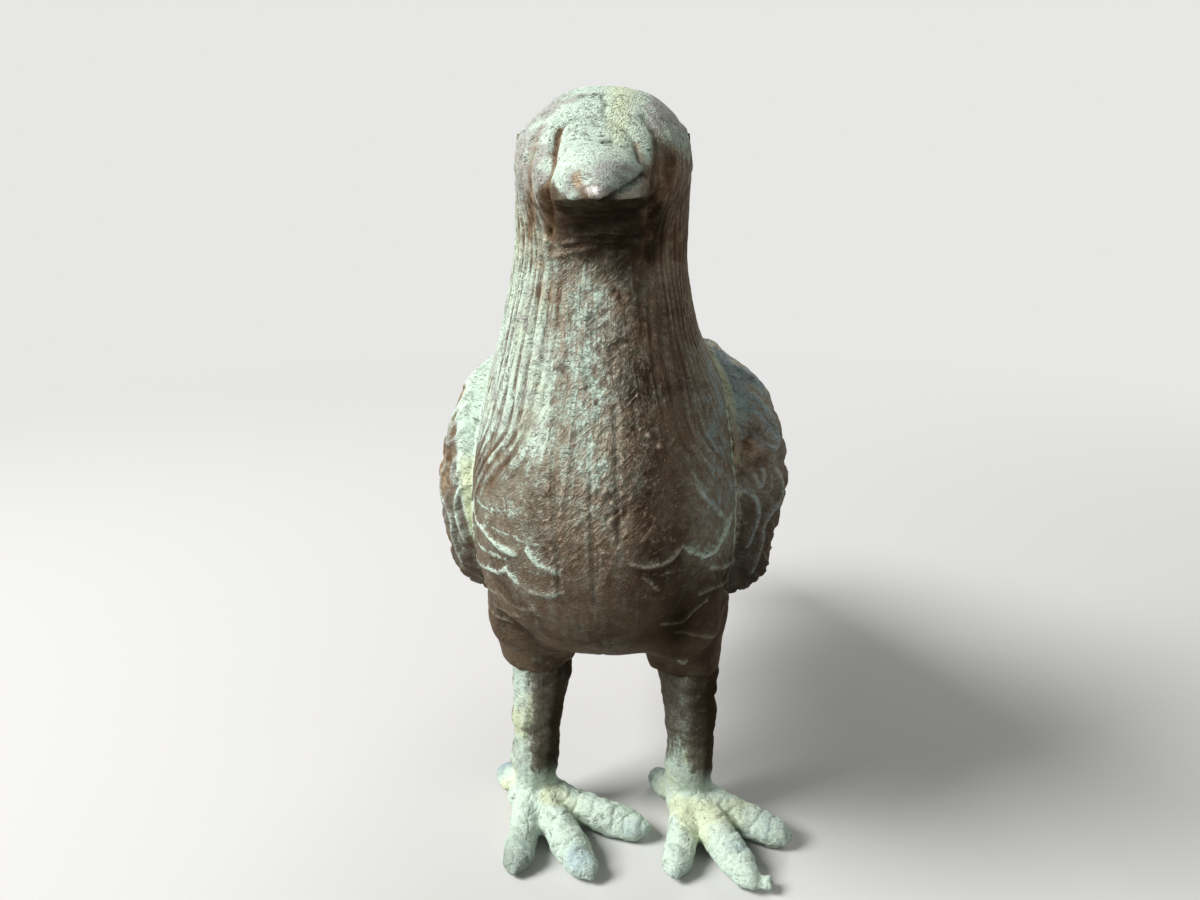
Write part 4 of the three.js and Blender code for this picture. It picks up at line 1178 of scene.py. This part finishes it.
# %% Pins
def hammered_pin(side):
    """A cross pin with a domed and dented front end"""
    low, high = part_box("leg_pin_" + side)
    middle = (low + high) / 2
    radius = (high.x - low.x) / 2
    length = high.y - low.y
    pin = bmesh.new()
    turned = Matrix.Translation(middle) @ Matrix.Rotation(math.radians(90), 4, "X")
    bmesh.ops.create_cone(pin, cap_ends=True, segments=40, radius1=radius, radius2=radius,
                          depth=length, matrix=turned)
    ends = [edge for edge in pin.edges if len({round(v.co.y, 5) for v in edge.verts}) == 1]
    bmesh.ops.bevel(pin, geom=ends, offset=0.5 * MM, offset_type="OFFSET", segments=4, profile=0.5,
                    affect="EDGES", material=-1)
    front = [face for face in pin.faces if len(face.verts) > 20 and face.normal.y < 0]
    dent = bmesh.ops.inset_region(pin, faces=front, thickness=0.35 * MM, depth=0.0)
    bmesh.ops.inset_region(pin, faces=front, thickness=0.25 * MM, depth=-0.25 * MM)
    print(side, "pin radius", round(radius / MM, 2), "mm, dented faces", len(dent["faces"]))
    return new_piece("pin_end_" + side, pin)


pins = {side: hammered_pin(side) for side in SIDES}

# %% Eyes
dome_share = 0.15


def bead(side):
    """A domed bead with a ring cut round the pupil"""
    low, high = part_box("eye_" + side)
    radius = (high.z - low.z) / 2
    eye = bmesh.new()
    bmesh.ops.create_uvsphere(eye, u_segments=48, v_segments=32, radius=1)
    for vert in eye.verts:
        from_axis = math.hypot(vert.co.x, vert.co.y)
        ring = math.exp(-(((from_axis - 0.55) / 0.1) ** 2)) if vert.co.z > 0 else 0
        vert.co.z = vert.co.z * (1 - 0.12 * ring) - 0.04 * math.exp(-((from_axis / 0.2) ** 2))
        vert.co.z *= dome_share if vert.co.z > 0 else 1
    outward = Matrix.Rotation(math.radians(90 * sign_of[side]), 3, "Y")
    bmesh.ops.rotate(eye, verts=eye.verts, matrix=outward)
    bmesh.ops.scale(eye, verts=eye.verts, vec=((high.x - low.x) / 2, radius, radius))
    bmesh.ops.translate(eye, verts=eye.verts, vec=(low + high) / 2)
    print(side, "eye is", round(2 * radius / MM, 1), "mm across")
    return new_piece("eye_bead_" + side, eye)


eyes = {side: bead(side) for side in SIDES}
small_pieces = [(pins["left"], 0.3, 0.1), (pins["right"], 0.3, 0.1), (eyes["left"], 0.05, 0.75),
                (eyes["right"], 0.7, 0.3)]
for small, green, rust in small_pieces:
    x, y, z = points_of(small).T
    paint(small, green=green + 0.3 * noise(x / 2, y / 2, z / 2), rust=rust + 0.3 * noise(x, y, z),
          dark=0.15, hollow=0, hue=0.2)
    paint_flow(small, x, z, 0 * x)

# %% [markdown]
# ## Nodes by short calls
#
# Every finish below is made of shader nodes. A small class keeps them readable: its calls add
# a node and plug values or other nodes' outputs into it, do sums, turn a value into a
# soft-edged mask, mix colours, or make noise.

# %% Helpers for shader nodes
class Nodes:
    """One tree of shader nodes, which grows by short calls"""

    def __init__(self, tree):
        self.tree = tree

    def plug(self, value, socket):
        """Link another node's output to this socket, or set it to a number or colour"""
        if isinstance(value, bpy.types.NodeSocket):
            self.tree.links.new(value, socket)
        else:
            socket.default_value = value

    def add(self, kind, plugs, **settings):
        """Add a node, set it up, and plug its sockets"""
        made = self.tree.nodes.new("ShaderNode" + kind)
        for key, value in settings.items():
            setattr(made, key, value)
        for key, value in plugs.items():
            self.plug(value, made.inputs[key])
        return made

    def sums(self, kind, a, b=0.0, c=0.0):
        """One sum of up to three values"""
        return self.add("Math", {0: a, 1: b, 2: c}, operation=kind).outputs[0]

    def times(self, a, b, plus=None):
        """a * b, or a * b + plus"""
        return self.sums("MULTIPLY", a, b) if plus is None else self.sums("MULTIPLY_ADD", a, b, plus)

    def centred(self, texture):
        """A texture from 0 to 1, shifted to lie round 0"""
        return self.sums("SUBTRACT", texture, 0.5)

    def uneven(self, value, texture, amount):
        """A value made uneven by a texture"""
        return self.times(self.centred(texture), amount, value)

    def mask(self, value, low, high):
        """0 where the value is below low, 1 above high"""
        plugs = {"Value": value, "From Min": low, "From Max": high}
        return self.add("MapRange", plugs, interpolation_type="SMOOTHSTEP").outputs["Result"]

    def mixed(self, share, a, b):
        """Colour a, turned into colour b by the share"""
        return self.add("Mix", {0: share, 6: a, 7: b}, data_type="RGBA").outputs[2]

    def drawn_out(self, place, scale, turn=0.0):
        """Places for a texture that is stretched by this scale and turned round y"""
        plugs = {"Vector": place, "Rotation": (0.0, turn, 0.0), "Scale": scale}
        return self.add("Mapping", plugs, vector_type="TEXTURE").outputs[0]

    def noisy(self, place, size, detail=3.0, roughness=0.6, distortion=0.0):
        """Noise from 0 to 1 with lumps of this size in mm"""
        plugs = {"Vector": place, "Scale": 1 / size, "Detail": detail, "Roughness": roughness,
                 "Distortion": distortion}
        return self.add("TexNoise", plugs).outputs["Fac"]


def new_group(name, inputs, outputs):
    """An empty node group, with what it is given and where its results go"""
    tree = bpy.data.node_groups.new(name, "ShaderNodeTree")
    for way, sockets in (("INPUT", inputs), ("OUTPUT", outputs)):
        for socket, kind in sockets.items():
            tree.interface.new_socket(name=socket, in_out=way, socket_type="NodeSocket" + kind)
    return Nodes(tree), tree.nodes.new("NodeGroupInput").outputs, tree.nodes.new("NodeGroupOutput").inputs


# %% [markdown]
# ## The grain of a sand casting
#
# Metal poured in sand keeps the sand's grain: a field of fine pits and pips of about a third
# of a millimetre, with broader ripples where the wax had been combed. The streaks follow the
# flow that was stored on the skin, so they run down the neck and along the feathers.

# %% The group "Casting grain"
def make_grain():
    """Heights and streaks of a rough casting, from a place in mm and the combed flow"""
    inputs = {"Place": "Vector", "Flow": "Vector", "Combed": "Float"}
    nodes, given, results = new_group("Casting grain", inputs, {"Height": "Float", "Streak": "Float"})
    place = given["Place"]
    grain = nodes.noisy(place, 0.42, 2.0)
    pits = nodes.add("TexVoronoi", {"Vector": place, "Scale": 1 / 0.75}, feature="F1")
    pit = nodes.mask(pits.outputs["Distance"], 0.1, 0.42)
    ripple = nodes.noisy(nodes.drawn_out(place, (2.6, 1.0, 1.0), -0.8), 0.48, 2.0, 0.6, 0.7)
    squeezed = nodes.add("VectorMath", {0: given["Flow"], 1: (0.9, 0.08, 0.0)}, operation="MULTIPLY")
    streak = nodes.noisy(squeezed.outputs[0], 1.0, 3.0, 0.62, 0.2)
    height = nodes.times(pit, 0.12, nodes.times(grain, 0.5, ripple))
    nodes.plug(nodes.times(nodes.times(streak, 0.6), given["Combed"], height), results["Height"])
    nodes.plug(streak, results["Streak"])
    return nodes.tree


casting_grain = make_grain()
print("Casting grain has", len(casting_grain.nodes), "nodes")

# %% [markdown]
# ## Patina
#
# The metal is brown where it is bare, darker in pits and paler where handling has rubbed the
# ridges. Over it lies verdigris, as a thin haze at its edges and as a thick matt crust
# inside. Its hue goes from blue-grey through mint to a yellow green, and a painted white
# highlight lies on the tip of the bill. Iron in the sand bled orange rust. Last come the
# black-brown stains and painted shade. Each layer's edge is broken up by noise, so no layer
# ends in a soft airbrushed line.

# %% The group "Patina"
# What the paint on the skin tells; its attributes have the same names in small letters
painted = ("Green", "Rust", "Dark", "Hollow", "Hue", "Lilac")
mint = (0.63, 0.77, 0.65, 1)
yellow_green = (0.73, 0.81, 0.56, 1)
blue_grey = (0.43, 0.56, 0.57, 1)
lilac_grey = (0.37, 0.345, 0.33, 1)
# White for a painted highlight on the tip of the bill
highlight_white = (0.84, 0.82, 0.78, 1)
olive = (0.27, 0.28, 0.22, 1)
vein_brown = (0.15, 0.14, 0.10, 1)
fleck_brown = (0.09, 0.085, 0.065, 1)
haze_green = (0.35, 0.36, 0.29, 1)
rust_brown = (0.15, 0.075, 0.032, 1)
rust_orange = (0.56, 0.37, 0.21, 1)
# Black-brown for stains and for painted shade
stain_and_shade_black = (0.016, 0.011, 0.007, 1)


def layer_edges(nodes, given, mid, fine, streak):
    """The masks of the thin haze, the thick crust and the rust"""
    broken = nodes.uneven(nodes.uneven(given["Green"], mid, 1.1), fine, 0.6)
    broken = nodes.times(nodes.times(nodes.centred(streak), given["Combed"]), 1.3, broken)
    broken = nodes.times(given["Hollow"], 0.08, broken)
    haze = nodes.times(nodes.mask(broken, 0.0, 0.6), 0.5)
    bled = nodes.uneven(nodes.uneven(given["Rust"], fine, 0.8), mid, -1.0)
    return haze, nodes.mask(broken, 0.44, 0.8), nodes.mask(bled, 0.22, 0.75)


def bare_metal(nodes, given, broad, fine):
    """Brown bronze, darker in pits and rubbed paler on ridges"""
    metal = nodes.mixed(nodes.mask(broad, 0.25, 0.6), given["Deep"], given["Metal"])
    rubbed = nodes.times(given["Hollow"], -0.6, nodes.centred(fine))
    metal = nodes.mixed(nodes.mask(rubbed, 0.05, 0.7), metal, given["Rubbed"])
    pit = nodes.times(fine, -0.6, nodes.times(given["Hollow"], 0.8))
    return nodes.mixed(nodes.times(nodes.mask(pit, -0.2, 0.5), 0.6), metal, given["Deep"])


def make_veins(nodes, place, mid, flecks):
    """Thin wavy cracks, here and there"""
    wavy = nodes.noisy(nodes.drawn_out(place, (4.5, 3.0, 1.0)), 1.1, 3.0, 0.6, 0.5)
    veins = nodes.mask(nodes.sums("ABSOLUTE", nodes.centred(wavy)), 0.035, 0.004)
    veins = nodes.times(veins, nodes.mask(mid, 0.5, 0.62))
    return nodes.times(veins, nodes.mask(flecks, 0.6, 0.46))


def green_crust(nodes, given, textures, veins):
    """Verdigris from blue-grey through mint to yellow green, with lilac-grey patches and a painted white
    highlight
    """
    broad, mid, fine, flecks = textures
    hue = nodes.uneven(given["Hue"], broad, 1.2)
    green = nodes.mixed(nodes.mask(hue, 0.1, 0.9), mint, yellow_green)
    green = nodes.mixed(nodes.mask(hue, -0.1, -0.9), green, blue_grey)
    lilac = nodes.uneven(nodes.uneven(given["Lilac"], mid, 1.2), flecks, 1.6)
    green = nodes.mixed(nodes.times(nodes.mask(lilac, 0.3, 0.85), 0.8), green, lilac_grey)
    # A painted white highlight where the lilac value is over 1
    green = nodes.mixed(nodes.mask(given["Lilac"], 1.0, 1.5), green, highlight_white)
    green = nodes.mixed(nodes.times(nodes.mask(fine, 0.5, 0.34), 0.3), green, olive)
    green = nodes.mixed(nodes.times(veins, 0.65), green, vein_brown)
    return nodes.mixed(nodes.times(nodes.mask(flecks, 0.455, 0.37), given["Flecked"]), green, fleck_brown)


def make_patina():
    """Colour, roughness, share of metal and height of old bronze"""
    inputs = {"Place": "Vector", "Flow": "Vector", "Combed": "Float"}
    inputs.update({name: "Float" for name in (*painted, "Flecked")})
    inputs.update({name: "Color" for name in ("Metal", "Deep", "Rubbed")})
    outputs = {"Color": "Color", "Roughness": "Float", "Metallic": "Float", "Height": "Float"}
    nodes, given, results = new_group("Patina", inputs, outputs)
    place = given["Place"]
    flow = {name: given[name] for name in ("Place", "Flow", "Combed")}
    grain = nodes.add("Group", flow, node_tree=casting_grain)
    mid = nodes.noisy(place, 4.2, 5.0, 0.62, 0.4)
    fine = nodes.noisy(place, 0.9, 3.0, 0.65)
    broad = nodes.noisy(place, 13, 3.0, 0.55)
    flecks = nodes.noisy(nodes.drawn_out(place, (3.4, 1.8, 1.0), 0.25), 0.5, 4.0, 0.75, 0.6)
    veins = make_veins(nodes, place, mid, flecks)
    haze, crust, rust = layer_edges(nodes, given, mid, fine, grain.outputs["Streak"])
    green = green_crust(nodes, given, (broad, mid, fine, flecks), veins)
    orange = nodes.mixed(nodes.mask(mid, 0.42, 0.66), rust_brown, rust_orange)
    colour = nodes.mixed(haze, bare_metal(nodes, given, broad, fine), haze_green)
    colour = nodes.mixed(crust, colour, green)
    colour = nodes.mixed(nodes.times(rust, 0.6), colour, orange)
    # The dark paint gives black-brown stains and painted shade
    colour = nodes.mixed(nodes.times(given["Dark"], 0.92), colour, stain_and_shade_black)
    covered = nodes.times(given["Dark"], -0.9, nodes.sums("MAXIMUM", crust, rust))
    matt = nodes.times(nodes.mask(covered, 0.0, 1.0), 0.32, nodes.times(fine, 0.25, 0.32))
    height = nodes.times(nodes.times(veins, crust), -0.5, nodes.times(crust, 0.35, grain.outputs["Height"]))
    nodes.plug(colour, results["Color"])
    nodes.plug(matt, results["Roughness"])
    nodes.plug(nodes.times(covered, -0.42, 0.45), results["Metallic"])
    nodes.plug(height, results["Height"])
    return nodes.tree


patina = make_patina()
print("Patina has", len(patina.nodes), "nodes")

# %% [markdown]
# ## One finish for each kind of piece
#
# All pieces are the same bronze, so every finish uses the patina group, with its own metal
# colours and its own depth of grain. The paint on each piece's skin does the rest.

# %% Finishes from the record's slots
shine = 0.15
shine_tint = (0.55, 0.46, 0.37, 1)


def bronze(name, metal, deep, rubbed, grain_depth, flecked=0.8):
    """A material of patinated bronze; the grain's depth is in mm"""
    finish = bpy.data.materials.new(name)
    finish.use_nodes = True
    nodes = Nodes(finish.node_tree)
    place = nodes.add("TexCoord", {}).outputs["Object"]
    in_mm = nodes.add("VectorMath", {0: place, "Scale": 1 / MM}, operation="SCALE").outputs[0]
    flow = nodes.add("Attribute", {}, attribute_name="flow").outputs["Vector"]
    plugs = {"Place": in_mm, "Flow": flow, "Flecked": flecked,
             "Combed": nodes.add("SeparateXYZ", {"Vector": flow}).outputs["Z"],
             "Metal": (*metal, 1), "Deep": (*deep, 1), "Rubbed": (*rubbed, 1)}
    for key in painted:
        plugs[key] = nodes.add("Attribute", {}, attribute_name=key.lower()).outputs["Fac"]
    group = nodes.add("Group", plugs, node_tree=patina)
    bump = nodes.add("Bump", {"Strength": 1.0, "Distance": grain_depth * MM,
                              "Height": group.outputs["Height"]})
    shader = nodes.tree.nodes["Principled BSDF"].inputs
    for key, socket in (("Color", "Base Color"), ("Roughness", "Roughness"), ("Metallic", "Metallic")):
        nodes.plug(group.outputs[key], shader[socket])
    nodes.plug(bump.outputs["Normal"], shader["Normal"])
    nodes.plug(shine, shader["Specular IOR Level"])
    nodes.plug(shine_tint, shader["Specular Tint"])
    return finish


# Each row is the metal's colour, its colours in pits and on rubbed ridges, the grain's depth, and
# how flecked the crust is where that differs
finish_rows = {
    "bronze_body": ((0.165, 0.118, 0.077), (0.05, 0.032, 0.019), (0.42, 0.35, 0.27), 0.46),
    "bronze_wing": ((0.145, 0.12, 0.09), (0.05, 0.036, 0.025), (0.34, 0.33, 0.30), 0.28),
    "patina_leg": ((0.12, 0.095, 0.07), (0.04, 0.028, 0.018), (0.34, 0.32, 0.27), 0.3, 0.3),
    "pin_metal": ((0.12, 0.10, 0.07), (0.04, 0.03, 0.02), (0.30, 0.29, 0.24), 0.15),
    "eye_bead": ((0.42, 0.24, 0.09), (0.16, 0.08, 0.03), (0.56, 0.38, 0.2), 0.12),
}
finishes = {name: bronze(name, *row) for name, row in finish_rows.items()}
print("finishes:", ", ".join(finishes))

# %% Dress each piece, and hide the node that it replaces
def dress(piece, node, slot):
    """Give the piece its finish and its place on the body, and hide the node that it replaces"""
    shown = piece.data
    shown.materials.clear()
    shown.materials.append(finishes[slot])
    if not piece.name.startswith("body_cast"):
        shown.polygons.foreach_set("use_smooth", [True] * len(shown.polygons))
    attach(piece, "root")
    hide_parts(node)
    print(piece.name, "stands for", node)


dress(tail, "tail", "bronze_wing")
for side in SIDES:
    dress(body_halves[side], "body_" + side, "bronze_body")
    dress(wings[side], "wing_" + side, "bronze_wing")
    dress(legs[side], "leg_" + side, "patina_leg")
    dress(pins[side], "leg_pin_" + side, "pin_metal")
    dress(eyes[side], "eye_" + side, "eye_bead")

# %% [markdown]
# ## A pale studio
#
# The bird stands on a plain pale floor that fades into the background far away, so there is
# no horizon. The camera and reflections see a nearly white world, while the light that the
# world gives is weaker, so that the lamps model the shape.

# %% Floor
pale = (0.80, 0.80, 0.79, 1)
floor_seen = (0.66, 0.655, 0.64, 1)
floor_bounce = (0.42, 0.41, 0.40, 1)
floor_radius = 6.0
ground = bmesh.new()
bmesh.ops.create_circle(ground, cap_ends=True, segments=96, radius=floor_radius)
floor = new_piece("floor", ground)
floor_finish = bpy.data.materials.new("pale_floor")
floor_finish.use_nodes = True
nodes = Nodes(floor_finish.node_tree)
shader = nodes.tree.nodes["Principled BSDF"]
shader.inputs["Roughness"].default_value = 0.9
spot = nodes.add("TexCoord", {}).outputs["Object"]
away = nodes.add("VectorMath", {0: spot}, operation="LENGTH").outputs["Value"]
to_camera = nodes.add("LightPath", {}).outputs["Is Camera Ray"]
far = nodes.times(nodes.mask(away, 0.12, 0.8), to_camera)
nodes.plug(nodes.mixed(to_camera, floor_bounce, floor_seen), shader.inputs["Base Color"])
glow = nodes.add("Emission", {"Color": pale, "Strength": 1.0}).outputs[0]
blend = nodes.add("MixShader", {0: far, 1: shader.outputs[0], 2: glow}).outputs[0]
nodes.plug(blend, nodes.tree.nodes["Material Output"].inputs["Surface"])
floor.data.materials.append(floor_finish)
print("floor radius in m:", floor_radius)

# %% World
ambient = 0.2
world = bpy.data.worlds.new("studio")
world.use_nodes = True
nodes = Nodes(world.node_tree)
backdrop = nodes.tree.nodes["Background"].inputs
backdrop["Color"].default_value = pale
rays = nodes.add("LightPath", {}).outputs
seen = nodes.sums("MAXIMUM", rays["Is Camera Ray"], rays["Is Glossy Ray"])
seen = nodes.sums("MAXIMUM", seen, rays["Is Transmission Ray"])
nodes.plug(nodes.times(seen, 1 - ambient, ambient), backdrop["Strength"])
bpy.context.scene.world = world
print("ambient light:", ambient)

# %% [markdown]
# ## Lamps and camera
#
# A large soft lamp stands to the viewer's upper left in front, as the window did, and a weak
# one on the right keeps the dark side readable. The camera stands close to the bird, about
# 23 cm from it, and looks down by 16 degrees, so the head is large and the feet are small.

# %% Lamps
middle_of_bird = Vector((home[0], 0.0, height * MM * 0.55))


def lamp(name, place, size, power):
    """A soft square lamp at a place, turned to the middle of the bird"""
    data = bpy.data.lights.new(name, "AREA")
    data.energy = power
    data.size = size
    made = bpy.data.objects.new(name, data)
    made.location = place
    made.rotation_euler = (middle_of_bird - Vector(place)).to_track_quat("-Z", "Y").to_euler()
    bpy.context.scene.collection.objects.link(made)


lamp("window", (-1.15, -0.44, 1.13), 0.7, 38.5)
lamp("fill", (0.7, -0.5, 0.35), 0.6, 0.45)
lamp("rim", (0.25, 0.75, 0.6), 0.4, 2.5)
print("lamps:", len(bpy.data.lights))

# %% Camera
photo_width_px = 1200
focal_length_px = 901
shift_px = -8
camera_place = (0.00881, -0.26724, 0.178)
looks_down = math.radians(16.1)
turned_left = math.radians(3)
view = bpy.data.cameras.new("camera")
view.sensor_width = 36
view.lens = view.sensor_width * focal_length_px / photo_width_px
view.shift_x = shift_px / photo_width_px
view.clip_start = 0.01
camera = bpy.data.objects.new("camera", view)
camera.location = camera_place
camera.rotation_euler = (math.pi / 2 - looks_down, 0, turned_left)
bpy.context.scene.collection.objects.link(camera)
bpy.context.scene.camera = camera
bpy.context.scene.view_settings.view_transform = "Standard"
print("camera", round(camera.location.length, 3), "m from the origin")
